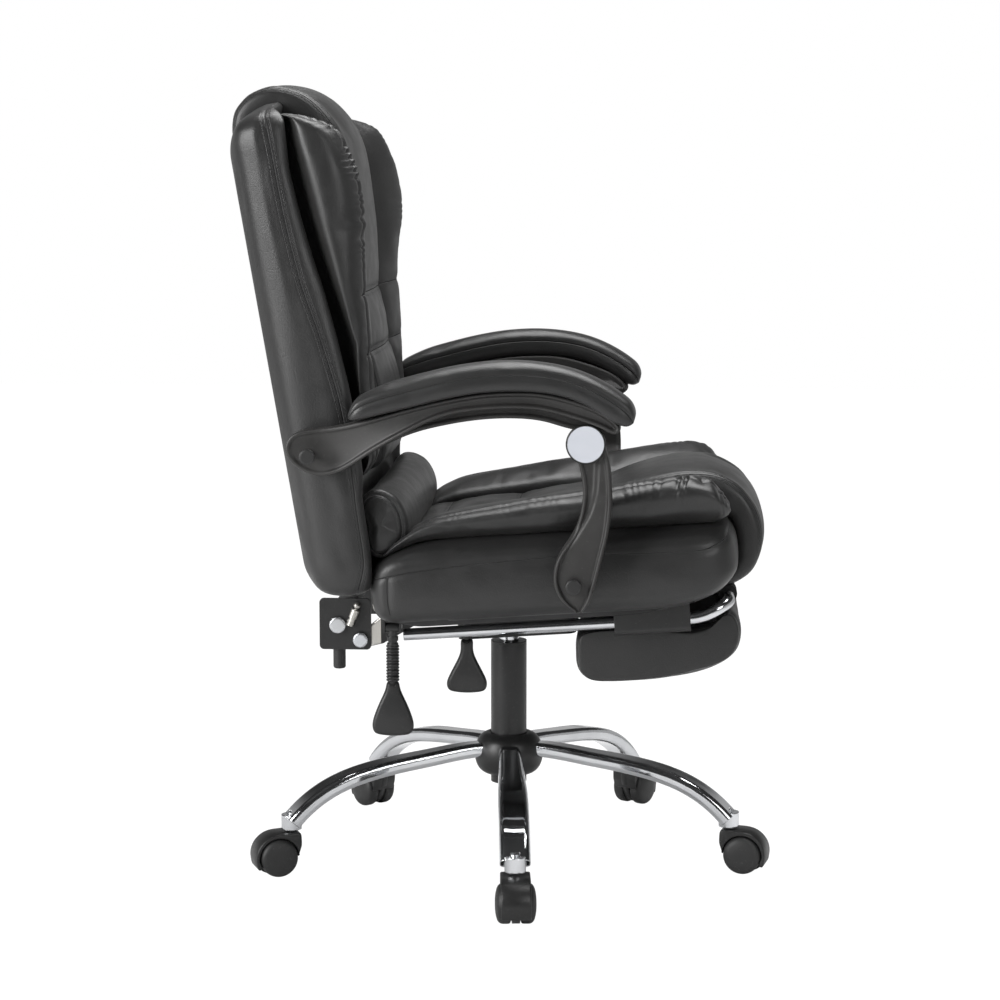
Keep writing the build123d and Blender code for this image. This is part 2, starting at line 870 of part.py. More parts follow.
# Arm frame: a deep inner web that carries the pivot lug, and a shallower outer lip under the pad
def make_arm_frame():
    web_low = [(-115, -8), (-74, 19), (-21, 28), (27, 29), (63, 25), (96, 16), (130, 13), (158, 15)]
    lip_low = [(-115, 24), (-65, 36), (-13, 44), (28, 46), (64, 44), (102, 36), (141, 24), (160, 15)]
    web_corners = [(x, arm_pivot_z + rise) for x, rise in web_low]
    web_corners[0] = (-115, arm_bolt_z + 25)
    lip_corners = [(x, arm_pivot_z + rise) for x, rise in lip_low]
    lip_corners[0] = (-115, arm_bolt_z + 30)
    web_outline = web_corners + arm_top_corners() + arm_rear_corners()
    lip_outline = lip_corners + arm_top_corners() + arm_rear_corners()
    web_end = arm_inner + arm_web
    frame = right_slab(web_outline, [0] * len(web_outline), arm_inner, web_end)
    frame += crosswise(arm_lug, -arm_inner, -web_end, arm_pivot_x, arm_pivot_z)
    lip = right_slab(lip_outline, [0] * len(lip_outline), web_end, arm_inner + arm_depth)
    room = post_eye + linkage_play + 2
    lip -= crosswise(room, -web_end, -arm_inner - arm_depth, arm_pivot_x, arm_pivot_z)
    frame += lip
    frame -= crosswise(pivot_pin_radius + seat_fit, -arm_inner + 1, -web_end - 1, arm_pivot_x, arm_pivot_z)
    return frame - crosswise(
        pivot_shank_radius + running_fit, -arm_inner + 1, -arm_inner - arm_depth - 1, arm_bolt_x, arm_bolt_z
    )


def make_pivot_cap():
    face = post_outer + 0.5
    cap = crosswise(pivot_pin_radius, -arm_inner - 1, -face, arm_pivot_x, arm_pivot_z)
    disc = crosswise(cap_radius, -face, -face - cap_thickness, arm_pivot_x, arm_pivot_z)
    return cap + fillet(disc.edges().group_by(Axis.Y)[0], 2)


# Arm post: an upright blade that leans forward to the pivot eye and ends in a rounded foot at the seat
def make_arm_post():
    foot = post_bolt_z
    eye = arm_pivot_z
    x = post_bolt_x
    corners = [
        (x + 4, foot - 35),
        (x + 26, foot - 2),
        (x + 36, foot + 30),
        (x + 44, foot + 70),
        (x + 48, eye - 76),
        (x + 46, eye - 36),
        (arm_pivot_x + post_eye - 2, eye - 9),
        (arm_pivot_x - post_eye + 6, eye - 14),
        (x + 10, eye - 62),
        (x + 8, foot + 95),
        (x - 1, foot + 68),
        (x - 16, foot + 46),
        (x - 26, foot + 14),
        (x - 24, foot - 4),
        (x - 12, foot - 23),
    ]
    post = right_slab(corners, [0] * len(corners), arm_inner, post_outer)
    post += crosswise(post_eye, -post_eye_inner, -post_outer, arm_pivot_x, eye)
    post -= block(
        x - 80, x + 120, -arm_inner + 1, -post_eye_inner, eye - post_neck, eye + 2 * post_eye
    )
    post -= crosswise(
        pivot_pin_radius + linkage_play, -arm_inner + 1, -post_outer - 1, arm_pivot_x, eye
    )
    return post - crosswise(
        pivot_shank_radius + running_fit, -arm_inner + 1, -post_outer - 1, post_bolt_x, post_bolt_z
    )


# Footrest: bar of the bent tube, in the seat frame
rail_z = -rail_drop
lift_x = rail_front + rail_bend * sin(radians(rail_lift))
lift_z = rail_z + rail_bend * (1 - cos(radians(rail_lift)))
bar_x = lift_x + rail_corner * cos(radians(rail_lift))
bar_z = lift_z + rail_corner * sin(radians(rail_lift))


def make_footrest_tube():
    side = rail_half_spacing
    turn = side - rail_corner
    near = [
        (rail_rear, -side, rail_z),
        (rail_front, -side, rail_z),
        (lift_x, -side, lift_z),
        (bar_x, -turn, bar_z),
    ]
    far = [(x, -y, z) for x, y, z in near]
    slope = (cos(radians(rail_lift)), 0, sin(radians(rail_lift)))
    down = (-slope[0], 0, -slope[2])
    path = [
        Line(near[0], near[1]),
        TangentArc(near[1], near[2], tangent=(1, 0, 0)),
        TangentArc(near[2], near[3], tangent=slope),
        Line(near[3], far[3]),
        TangentArc(far[3], far[2], tangent=(0, 1, 0)),
        TangentArc(far[2], far[1], tangent=down),
        Line(far[1], far[0]),
    ]
    wall = Circle(tube_radius) - Circle(tube_radius - tube_wall)
    ring = plane_at_x(rail_rear) * Pos(-side, rail_z) * wall
    return seat_frame * sweep(ring, path=Wire(path))


def make_rail_guides():
    guides = []
    for side in (-1, 1):
        middle = side * rail_half_spacing
        half = guide_width / 2
        guide = block(guide_rear, guide_front, middle - half, middle + half, -guide_depth, -seat_fit)
        guide = fillet(guide.edges().filter_by(Axis.X).group_by(Axis.Z)[0], 8)
        guide -= lengthwise(tube_radius + running_fit, guide_rear - 1, guide_front + 1, middle, rail_z)
        guides.append(seat_frame * guide)
    return guides


def make_footrest_board():
    half = rest_board_width / 2
    front = bar_x - rest_board_setback
    under = -rest_board_drop - rest_board_thickness
    board = block(front - rest_board_length, front, -half, half, under, -rest_board_drop)
    reach = tube_radius + knuckle_wall
    for side in (-1, 1):
        start = side * knuckle_offset - knuckle_width / 2
        knuckle = crosswise(reach, start, start + knuckle_width, bar_x, bar_z)
        stop = start + knuckle_width
        knuckle += block(front - 1, bar_x + knuckle_wall, start, stop, under, bar_z - tube_radius)
        board += knuckle
    board -= crosswise(tube_radius + running_fit, -half, half, bar_x, bar_z)
    return seat_frame * board


def make_footrest_pad():
    top = -rest_board_drop - rest_board_thickness - soft_gap
    low = top - rest_pad_depth
    rear = bar_x - rest_board_setback - rest_board_length - rest_pad_margin
    nose = bar_z - tube_radius - knuckle_wall
    corners = [
        (rear + 8, low + 16),
        (rear + 30, low),
        (bar_x - 66, low),
        (bar_x - 10, low + 15),
        (bar_x + 9, low + 38),
        (bar_x + 11, nose),
        (bar_x - 13, nose),
        (bar_x - 15, top),
        (rear, top),
    ]
    half = rest_pad_width / 2
    bows = [3, 4, 3, 4, 2, 0, 0, 0, 3]
    stations = mirrored_stations([(half - 26, 0), (half - 7, 4), (half, 11)])
    sections = []
    for y, inset in stations:
        narrow = 1 - inset / (bar_x - rear)
        thin = 1 - inset / rest_pad_depth
        drawn = [(bar_x + (u - bar_x) * narrow, v if v > top else top + (v - top) * thin) for u, v in corners]
        sections.append(bowed_face(plane_at_y(y), drawn, bows))
    pad = loft(sections, ruled=True)
    for side in (-1, 1):
        start = side * knuckle_offset - knuckle_width / 2 - seat_fit
        stop = start + knuckle_width + 2 * seat_fit
        pad -= block(bar_x - 18, bar_x + 30, start, stop, top - seat_fit, bar_z + 20)
    return seat_frame * pad


# Levers, hung from small clevis brackets under the seat
def seat_under(x):
    return (seat_frame * Pos(x, 0, 0)).position.Z


def make_lever_brackets():
    brackets = []
    for x, y in ((recline_lever_x, recline_lever_y), (lift_lever_x, lift_lever_y)):
        under = seat_under(x)
        pivot_z = under - lever_pivot_drop
        half = lever_barrel_width / 2 + 0.5
        outer = half + lever_ear
        plate = block(
            -outer, outer, -lever_plate_half, lever_plate_half, -lever_plate_thickness, -seat_fit
        )
        bracket = Pos(x, y, under) * Rot(0, -seat_tilt, 0) * plate
        for side in (-1, 1):
            middle = x + side * (half + lever_ear / 2)
            bracket += block(
                middle - lever_ear / 2,
                middle + lever_ear / 2,
                y - lever_ear_half,
                y + lever_ear_half,
                pivot_z - lever_ear_tip,
                under - 2,
            )
        bracket += lengthwise(lever_pin_radius, x - outer, x + outer, y, pivot_z)
        bracket -= Pos(x, y, under) * Rot(0, -seat_tilt, 0) * block(-40, 40, -40, 40, -seat_fit, 40)
        brackets.append(bracket)
    return brackets


def make_lever(x, y, stalk, radius):
    pivot_z = seat_under(x) - lever_pivot_drop
    half = lever_barrel_width / 2
    lever = lengthwise(lever_barrel, x - half, x + half, y, pivot_z)
    lever += upright(radius, pivot_z - stalk - paddle_socket, pivot_z - 3, x, y)
    lever -= lengthwise(lever_pin_radius + running_fit, x - half - 1, x + half + 1, y, pivot_z)
    return lever, pivot_z - stalk


def make_recline_lever():
    radius = recline_stalk_radius
    lever, paddle_top = make_lever(recline_lever_x, recline_lever_y, recline_stalk, radius - 1.5)
    pitch = (recline_stalk - lever_barrel - 2) / stalk_ribs
    for rib in range(stalk_ribs):
        low = paddle_top + 0.5 + rib * pitch
        lever += upright(radius, low, low + 0.62 * pitch, recline_lever_x, recline_lever_y)
    return lever


def make_lift_lever():
    return make_lever(lift_lever_x, lift_lever_y, lift_stalk, lift_stalk_radius)[0]


# Paddle: narrow neck, blade that widens to round lower corners
def make_paddle(x, y, top, stalk_radius):
    half = paddle_width / 2
    neck = paddle_neck / 2
    corners = [
        (x - 0.72 * half, top - paddle_length),
        (x + 0.72 * half, top - paddle_length),
        (x + half, top - 0.8 * paddle_length),
        (x + 0.62 * half, top - 0.38 * paddle_length),
        (x + neck, top),
        (x - neck, top),
        (x - 0.62 * half, top - 0.38 * paddle_length),
        (x - half, top - 0.8 * paddle_length),
    ]
    thick = max(paddle_thickness, 2 * stalk_radius + 4)
    blade = right_slab(corners, [2, 3, 0, 0, 0, 0, 0, 3], -y - thick / 2, -y + thick / 2)
    return blade - upright(stalk_radius + running_fit, top - paddle_socket - 0.5, top + 1, x, y)


def make_recline_paddle():
    top = seat_under(recline_lever_x) - lever_pivot_drop - recline_stalk
    return make_paddle(recline_lever_x, recline_lever_y, top, recline_stalk_radius - 1.5)


def make_lift_paddle():
    top = seat_under(lift_lever_x) - lever_pivot_drop - lift_stalk
    return make_paddle(lift_lever_x, lift_lever_y, top, lift_stalk_radius)


# Every node under the name of its file
def make_nodes():
    arm_frame = make_arm_frame()
    arm_pad = make_arm_pad()
    arm_post = make_arm_post()
    seat_lobe = make_seat_lobe()
    back_lobe = make_back_lobe()
    nodes = {
        "base_hub": [make_hub()],
        "base_legs": make_base_legs(),
        "column_tube": [make_column_tube()],
        "column_bush": [make_column_bush()],
        "gas_piston": [make_gas_piston()],
        "mechanism_housing": [make_mechanism_housing()],
        "mechanism_bolts": make_mechanism_bolts(),
        "seat_board": [make_seat_board()],
        "seat_base_cushion": [make_seat_base()],
        "seat_center_strap": [make_seat_strap()],
        "seat_side_pad_right": [seat_lobe],
        "seat_side_pad_left": [mirror(seat_lobe, about=Plane.XZ)],
        "rail_guides": make_rail_guides(),
        "seat_hinge_brackets": make_seat_hinge_brackets(),
        "pivot_bolts": make_pivot_bolts(),
        "lever_brackets": make_lever_brackets(),
        "back_hinge_plates": make_back_hinge_plates(),
        "back_upright": [make_back_upright()],
        "back_bolts": make_back_bolts(),
        "back_shell": [make_back_shell()],
        "back_center_strap": [make_back_strap()],
        "back_side_pad_right": [back_lobe],
        "back_side_pad_left": [mirror(back_lobe, about=Plane.XZ)],
        "lumbar_roll": [make_lumbar_roll()],
        "cable_fitting": [make_cable_fitting()],
        "tension_knob": [make_tension_knob()],
        "arm_frame_right": [arm_frame],
        "arm_frame_left": [mirror(arm_frame, about=Plane.XZ)],
        "arm_pad_right": [arm_pad],
        "arm_pad_left": [mirror(arm_pad, about=Plane.XZ)],
        "pivot_caps": both_sides(make_pivot_cap()),
        "arm_post_right": [arm_post],
        "arm_post_left": [mirror(arm_post, about=Plane.XZ)],
        "footrest_tube": [make_footrest_tube()],
        "footrest_board": [make_footrest_board()],
        "footrest_pad": [make_footrest_pad()],
        "recline_lever": [make_recline_lever()],
        "recline_paddle": [make_recline_paddle()],
        "lift_lever": [make_lift_lever()],
        "lift_paddle": [make_lift_paddle()],
    }
    for number, angle in enumerate(leg_angles, start=1):
        place = Rot(0, 0, angle) * Pos(caster_circle, 0, 0)
        nodes[f"caster_hood_{number}"] = [place * make_caster_hood()]
        nodes[f"caster_pins_{number}"] = [place * pin for pin in make_caster_pins()]
        nodes[f"caster_wheel_{number}_left"] = [place * make_wheel(1)]
        nodes[f"caster_wheel_{number}_right"] = [place * make_wheel(-1)]
    return nodes


def main():
    os.makedirs("parts", exist_ok=True)
    for name, pieces in make_nodes().items():
        solids = [solid for piece in pieces for solid in piece.solids()]
        shape = solids[0] if len(solids) == 1 else Compound(solids)
        export_step(shape, f"parts/{name}.step")


main()
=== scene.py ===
import bmesh
import bpy
import math
import numpy as np
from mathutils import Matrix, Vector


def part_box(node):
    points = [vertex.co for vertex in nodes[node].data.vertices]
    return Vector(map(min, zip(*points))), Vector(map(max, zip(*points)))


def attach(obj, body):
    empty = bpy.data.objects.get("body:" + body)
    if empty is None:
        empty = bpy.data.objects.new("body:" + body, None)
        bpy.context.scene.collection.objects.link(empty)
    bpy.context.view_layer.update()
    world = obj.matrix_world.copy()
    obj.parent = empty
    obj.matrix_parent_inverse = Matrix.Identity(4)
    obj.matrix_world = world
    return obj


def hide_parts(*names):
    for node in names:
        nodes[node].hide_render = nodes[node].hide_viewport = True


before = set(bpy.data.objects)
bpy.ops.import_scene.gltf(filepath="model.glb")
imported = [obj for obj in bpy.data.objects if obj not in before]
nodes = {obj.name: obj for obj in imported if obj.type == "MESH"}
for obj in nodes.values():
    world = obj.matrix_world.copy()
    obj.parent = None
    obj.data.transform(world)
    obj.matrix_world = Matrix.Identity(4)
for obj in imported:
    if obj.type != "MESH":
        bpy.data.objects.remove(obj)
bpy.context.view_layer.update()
scene = bpy.context.scene
scene.view_settings.view_transform = "Standard"
print("frame loaded,", len(nodes), "nodes")

# camera, from the picture's own perspective
shot = {"place": (0.2223, -3.5430, 0.993), "down": 7.87, "turn": 3.79, "lens": 92.88, "film": 36.0}
lensData = bpy.data.cameras.new("camera")
lensData.lens = shot["lens"]
lensData.sensor_width = shot["film"]
camera = bpy.data.objects.new("camera", lensData)
camera.location = shot["place"]
camera.rotation_euler = (math.radians(90 - shot["down"]), 0, math.radians(shot["turn"]))
scene.collection.objects.link(camera)
scene.camera = camera


# node helpers: settings are node properties, sockets are numbers, colours or links
def feed(tree, node, sockets):
    for key, value in sockets.items():
        if isinstance(value, bpy.types.NodeSocket):
            tree.links.new(value, node.inputs[key])
        else:
            node.inputs[key].default_value = value


def put(tree, kind, sockets, **settings):
    node = tree.nodes.new("ShaderNode" + kind)
    for key, value in settings.items():
        setattr(node, key, value)
    feed(tree, node, sockets)
    return node.outputs


def calc(tree, operation, first, second=0.0):
    return put(tree, "Math", {0: first, 1: second}, operation=operation)[0]


def times(tree, first, second):
    return calc(tree, "MULTIPLY", first, second)


def fade(tree, value, start, end, low=0.0, high=1.0):  # smooth step from low to high between start and end
    sockets = {"Value": value, "From Min": start, "From Max": end, "To Min": low, "To Max": high}
    return put(tree, "MapRange", sockets, interpolation_type="SMOOTHSTEP")["Result"]


def tint(tree, share, first, second):
    return put(tree, "Mix", {0: share, 6: first, 7: second}, data_type="RGBA")[2]


def here(tree):
    return put(tree, "TexCoord", {})["Object"]


def noise(tree, spot, scale, detail):
    return put(tree, "TexNoise", {"Vector": spot, "Scale": scale, "Detail": detail})


def raised(tree, height, strength, distance, **normal):
    return put(tree, "Bump", {"Strength": strength, "Distance": distance, "Height": height, **normal})[0]


def grey(level, warm=0.0):
    return (level * (1 + warm), level, level * (1 - warm), 1.0)


def newGroup(name, inputs, outputs):
    tree = bpy.data.node_groups.new(name, "ShaderNodeTree")
    for label, start in inputs.items():
        socket = tree.interface.new_socket(name=label, in_out="INPUT", socket_type="NodeSocketFloat")
        socket.default_value = start
    for label in outputs:
        kind = "NodeSocketVector" if label == "Normal" else "NodeSocketFloat"
        tree.interface.new_socket(name=label, in_out="OUTPUT", socket_type=kind)
    return tree, tree.nodes.new("NodeGroupInput").outputs, tree.nodes.new("NodeGroupOutput")


# leather grain: pebbles of two sizes, fine creases, slow patches of shade and polish
def makeLeatherGrain():
    starts = {"Pebbles": 620.0, "Creases": 70.0}
    tree, given, out = newGroup("leatherGrain", starts, ("Height", "Patch", "Polish"))
    spot = here(tree)
    bent = noise(tree, spot, 240.0, 2.0)["Color"]
    nudge = put(tree, "VectorMath", {0: bent, "Scale": 0.0012}, operation="SCALE")[0]
    moved = put(tree, "VectorMath", {0: spot, 1: nudge}, operation="ADD")[0]
    pebble = put(tree, "TexVoronoi", {"Vector": moved, "Scale": given["Pebbles"]}, feature="SMOOTH_F1")
    crease = put(tree, "TexVoronoi", {"Vector": moved, "Scale": given["Creases"]}, feature="DISTANCE_TO_EDGE")
    ridge = times(tree, fade(tree, crease["Distance"], 0.0, 0.09), 0.35)
    feed(tree, out, {
        "Height": calc(tree, "SUBTRACT", ridge, pebble["Distance"]),
        "Patch": fade(tree, noise(tree, spot, 7.0, 3.0)["Fac"], 0.34, 0.66),
        "Polish": fade(tree, noise(tree, spot, 38.0, 4.0)["Fac"], 0.3, 0.7),
    })
    return tree


# sewn line: a sunk crease where seamGap is zero, and a dashed row of thread beside it; the crease mask also sets
# where painted shade goes
def makeSewnLine():
    starts = {"Crease width": 0.0012, "Row": 0.0050, "Pitch": 0.0055}
    tree, given, out = newGroup("sewnLine", starts, ("CreaseAndShade", "Thread", "Height"))
    gap, run = (put(tree, "Attribute", {}, attribute_name=name)["Fac"] for name in ("seamGap", "seamRun"))
    away = calc(tree, "ABSOLUTE", gap)
    crease = fade(tree, away, 0.0, given["Crease width"], 1.0, 0.0)
    row = calc(tree, "ABSOLUTE", calc(tree, "SUBTRACT", away, given["Row"]))
    step = calc(tree, "FRACT", calc(tree, "DIVIDE", run, given["Pitch"]))
    dash = calc(tree, "LESS_THAN", calc(tree, "ABSOLUTE", calc(tree, "SUBTRACT", step, 0.5)), 0.36)
    thread = times(tree, fade(tree, row, 0.0003, 0.0010, 1.0, 0.0), dash)
    sunk = times(tree, fade(tree, row, 0.0, 0.0022, 1.0, 0.0), -0.35)
    high = calc(tree, "ADD", calc(tree, "SUBTRACT", sunk, crease), times(tree, thread, 0.5))
    feed(tree, out, {"CreaseAndShade": crease, "Thread": thread, "Height": high})
    return tree


# rounded edge: the normal softened over corners, and a mask of corners painted lighter, partly scuffing and
# partly painted rim highlight
def makeRoundedEdge():
    tree, given, out = newGroup("roundedEdge", {"Radius": 0.0015}, ("Normal", "ScuffAndHighlight"))
    bevel = put(tree, "Bevel", {"Radius": given["Radius"]}, samples=6)["Normal"]
    flat = put(tree, "NewGeometry", {})["Normal"]
    dot = put(tree, "VectorMath", {0: bevel, 1: flat}, operation="DOT_PRODUCT")["Value"]
    broken = noise(tree, here(tree), 160.0, 3.0)["Fac"]
    scuffAndHighlight = times(tree, fade(tree, dot, 0.96, 0.75), fade(tree, broken, 0.35, 0.65))
    feed(tree, out, {"Normal": bevel, "ScuffAndHighlight": scuffAndHighlight})
    return tree


# moulded skin: fine spark texture, slow shade, light dust in the hollows of the noise
def makeMouldedSkin():
    starts = {"Grain": 900.0, "Patches": 14.0}
    tree, given, out = newGroup("mouldedSkin", starts, ("Height", "Shade", "Dust"))
    spot = here(tree)
    feed(tree, out, {
        "Height": noise(tree, spot, given["Grain"], 2.0)["Fac"],
        "Shade": fade(tree, noise(tree, spot, given["Patches"], 4.0)["Fac"], 0.3, 0.7),
        "Dust": fade(tree, noise(tree, spot, 310.0, 5.0)["Fac"], 0.6, 0.78),
    })
    return tree


leatherGrain, sewnLine = makeLeatherGrain(), makeSewnLine()
roundedEdge, mouldedSkin = makeRoundedEdge(), makeMouldedSkin()


def use(tree, group, values):
    return put(tree, "Group", values, node_tree=group)


def newMaterial(name, fixed):
    material = bpy.data.materials.new(name)
    material.use_nodes = True
    tree = material.node_tree
    shader = tree.nodes["Principled BSDF"]
    feed(tree, shader, fixed)
    return material, tree, shader


# padded hide: dark grey, a little lighter in scuffed patches, thread darker than the hide, painted shade near
# black in the seam creases
def makeLeather(name, look):
    fixed = {"Specular IOR Level": look["gloss"], "Sheen Weight": look["sheen"], "Sheen Roughness": 0.5}
    material, tree, shader = newMaterial(name, fixed)
    grain = use(tree, leatherGrain, {"Pebbles": look["pebbles"], "Creases": look["creases"]})
    sewn = use(tree, sewnLine, {"Row": look["row"]})
    base = tint(tree, grain["Patch"], grey(look["dark"]), grey(look["pale"], 0.01))
    # painted shade: near black along the seam creases and over the seat base's underside
    creaseShaded = tint(tree, times(tree, sewn["CreaseAndShade"], 0.85), base, grey(0.004))
    rough = fade(tree, grain["Polish"], 0.0, 1.0, look["rough"] - 0.03, look["rough"] + 0.03)
    fine = raised(tree, grain["Height"], look["bump"], 0.0004)
    feed(tree, shader, {
        "Base Color": tint(tree, times(tree, sewn["Thread"], 0.7), creaseShaded, grey(look["thread"])),
        "Roughness": calc(tree, "ADD", rough, times(tree, sewn["CreaseAndShade"], 0.3)),
        "Normal": raised(tree, sewn["Height"], 0.8, 0.0012, Normal=fine),
    })
    return material


# moulded or painted part: fine spark texture, softened edges, corners painted lighter, partly scuffing and partly
# painted rim highlight
def makeMoulded(name, look):
    material, tree, shader = newMaterial(name, {"Metallic": look.get("metal", 0.0), "Specular IOR Level": 0.5})
    skin = use(tree, mouldedSkin, {"Grain": look["grain"]})
    edge = use(tree, roundedEdge, {"Radius": look["edge"]})
    base = tint(tree, skin["Shade"], look["dark"], look["pale"])
    # corners painted lighter: partly scuffing, partly painted rim highlight
    scuffedAndLit = tint(tree, times(tree, edge["ScuffAndHighlight"], look["scuffAndHighlightShare"]), base, look["scuffedAndLitTone"])
    dust = times(tree, skin["Dust"], look.get("dust", 0.06))
    feed(tree, shader, {
        "Base Color": tint(tree, dust, scuffedAndLit, grey(0.35, 0.04)),
        "Roughness": fade(tree, skin["Shade"], 0.0, 1.0, look["rough"] - 0.05, look["rough"] + 0.05),
        "Normal": raised(tree, skin["Height"], look["bump"], 0.0003, Normal=edge["Normal"]),
    })
    return material


# board stained black: plies by height, long grain across
def makePlies(name, look):
    material, tree, shader = newMaterial(name, {"Specular IOR Level": 0.25})
    spot = here(tree)
    long = put(tree, "Mapping", {"Vector": spot, "Scale": (6.0, 90.0, 90.0)})[0]
    fibre = noise(tree, long, 4.0, 6.0)["Fac"]
    wave = {"Vector": spot, "Scale": look["plies"], "Distortion": 0.6}
    plies = put(tree, "TexWave", wave, bands_direction="Z")["Fac"]
    base = tint(tree, fade(tree, fibre, 0.35, 0.65), look["dark"], look["pale"])
    feed(tree, shader, {
        "Base Color": tint(tree, times(tree, plies, 0.35), base, look["glue"]),
        "Roughness": fade(tree, fibre, 0.2, 0.8, 0.55, 0.75),
        "Normal": raised(tree, fibre, 0.3, 0.0004),
    })
    return material


hide = {
    "dark": 0.0165, "pale": 0.0195, "thread": 0.008, "gloss": 0.55, "sheen": 0.03, "rough": 0.41,
    "pebbles": 620.0, "creases": 70.0, "bump": 0.30,
}
stitched = makeLeather("stitchedLeather", {**hide, "row": 0.0048})
leather = makeLeather("blackLeather", {**hide, "row": 1.0})
# the lighter corner tone of each finish: partly scuffing, partly painted rim highlight
mouldedGrey = makeMoulded("mouldedGrey", {
    "dark": grey(0.024, 0.03), "pale": grey(0.032, 0.03), "scuffedAndLitTone": grey(0.10, 0.03), "scuffAndHighlightShare": 0.5,
    "rough": 0.46, "grain": 1100.0, "edge": 0.0018, "bump": 0.25,
})
blackPlastic = makeMoulded("blackPlastic", {
    "dark": grey(0.012), "pale": grey(0.018), "scuffedAndLitTone": grey(0.07), "scuffAndHighlightShare": 0.5,
    "rough": 0.36, "grain": 1300.0, "edge": 0.0015, "bump": 0.18,
})
wheelPlastic = makeMoulded("wheelPlastic", {
    "dark": grey(0.014), "pale": grey(0.024), "scuffedAndLitTone": grey(0.09), "scuffAndHighlightShare": 0.6,
    "rough": 0.5, "grain": 800.0, "edge": 0.0012, "bump": 0.25, "dust": 0.12,
})
blackSteel = makeMoulded("blackSteel", {
    "dark": grey(0.014), "pale": grey(0.020), "scuffedAndLitTone": grey(0.20), "scuffAndHighlightShare": 0.5,
    "rough": 0.38, "grain": 700.0, "edge": 0.0008, "bump": 0.3,
})
paleSteel = makeMoulded("paleSteel", {
    "dark": (0.50, 0.49, 0.46, 1.0), "pale": (0.60, 0.58, 0.54, 1.0), "scuffedAndLitTone": grey(0.7), "scuffAndHighlightShare": 0.4,
    "rough": 0.36, "grain": 500.0, "edge": 0.0008, "bump": 0.12, "metal": 0.85,
})
zinc = makeMoulded("zinc", {
    "dark": (0.60, 0.62, 0.65, 1.0), "pale": (0.72, 0.73, 0.75, 1.0), "scuffedAndLitTone": grey(0.85), "scuffAndHighlightShare": 0.4,
    "rough": 0.24, "grain": 600.0, "edge": 0.0010, "bump": 0.08, "metal": 1.0, "dust": 0.02,
})
chrome = makeMoulded("chrome", {
    "dark": (0.66, 0.67, 0.69, 1.0), "pale": (0.74, 0.75, 0.77, 1.0), "scuffedAndLitTone": grey(0.85), "scuffAndHighlightShare": 0.3,
    "rough": 0.09, "grain": 220.0, "edge": 0.0020, "bump": 0.015, "metal": 1.0, "dust": 0.015,
})


# two tones on one piece: bright metal, and dark past a limit along one axis; on the seat brackets that dark is
# painted shade under the seat
def makeDarkPast(name, axis, limit, dark, bright):
    material, tree, shader = newMaterial(name, {"Specular IOR Level": 0.5})
    place = put(tree, "SeparateXYZ", {0: here(tree)})[axis]
    if axis == "Y":
        place = calc(tree, "ABSOLUTE", place)
    past = calc(tree, "GREATER_THAN", place, limit)
    skin = use(tree, mouldedSkin, {"Grain": 700.0})
    edge = use(tree, roundedEdge, {"Radius": 0.005})
    shade = tint(tree, skin["Shade"], bright, grey(0.6))
    # the dark side's corners painted lighter: partly scuffing, partly painted rim highlight
    scuffedAndLitTone = tint(tree, times(tree, edge["ScuffAndHighlight"], 0.4), dark, grey(0.1))
    feed(tree, shader, {
        "Base Color": tint(tree, past, shade, scuffedAndLitTone),
        "Metallic": calc(tree, "SUBTRACT", 1.0, past),
        "Roughness": fade(tree, past, 0.0, 1.0, 0.24, 0.42),
        "Normal": edge["Normal"],
    })
    return material


# pivot cap: pale face with a dark ring round it, by distance from the pivot's axis
def makeCap(name, look):
    material, tree, shader = newMaterial(name, {"Specular IOR Level": 0.5})
    level = put(tree, "VectorMath", {0: here(tree), 1: (1.0, 0.0, 1.0)}, operation="MULTIPLY")[0]
    away = put(tree, "VectorMath", {0: level, 1: look["axis"]}, operation="DISTANCE")["Value"]
    ring = fade(tree, away, look["radius"] - 0.0004, look["radius"] + 0.0004)
    skin = use(tree, mouldedSkin, {"Grain": 1500.0})
    face = tint(tree, skin["Shade"], look["dark"], look["pale"])
    feed(tree, shader, {
        "Base Color": tint(tree, ring, face, grey(0.008)),
        "Roughness": fade(tree, skin["Shade"], 0.0, 1.0, 0.30, 0.38),
        "Normal": use(tree, roundedEdge, {"Radius": 0.0012})["Normal"],
    })
    return material


bolts = makeDarkPast("bolts", "Y", 0.2, grey(0.02), (0.68, 0.70, 0.73, 1.0))
# painted shade: the seat brackets near black forward of X -0.165, where they run in under the seat
brackets = makeDarkPast("brackets", "X", -0.165, grey(0.012), (0.58, 0.56, 0.52, 1.0))
pivotCap = makeCap("pivotCap", {
    "axis": (0.116, 0.0, 0.615), "radius": 0.0232,
    "dark": (0.55, 0.58, 0.64, 1.0), "pale": (0.60, 0.62, 0.67, 1.0),
})
plywood = makePlies("plywood", {
    "dark": grey(0.010), "pale": grey(0.018), "glue": grey(0.006), "plies": 160.0,
})

finishes = [
    (chrome, ["base_legs", "footrest_tube", "gas_piston"]),
    (blackPlastic, ["base_hub", "column_tube", "column_bush", "rail_guides", "tension_knob",
                    "recline_lever", "lift_lever", "recline_paddle", "lift_paddle"]),
    (blackSteel, ["mechanism_housing", "back_hinge_plates", "back_upright", "lever_brackets"]),
    (paleSteel, ["cable_fitting"]),
    (brackets, ["seat_hinge_brackets"]),
    (zinc, ["mechanism_bolts"]),
    (bolts, ["back_bolts", "pivot_bolts"]),
    (pivotCap, ["pivot_caps"]),
    (mouldedGrey, ["arm_frame_right", "arm_frame_left", "arm_post_right", "arm_post_left"]),
    (plywood, ["seat_board", "footrest_board"]),
]
casters = range(1, 6)
for number in casters:
    wheels = [f"caster_wheel_{number}_{word}" for word in ("left", "right")]
    finishes += [(blackPlastic, [f"caster_hood_{number}"]), (zinc, [f"caster_pins_{number}"]),
                 (wheelPlastic, wheels)]
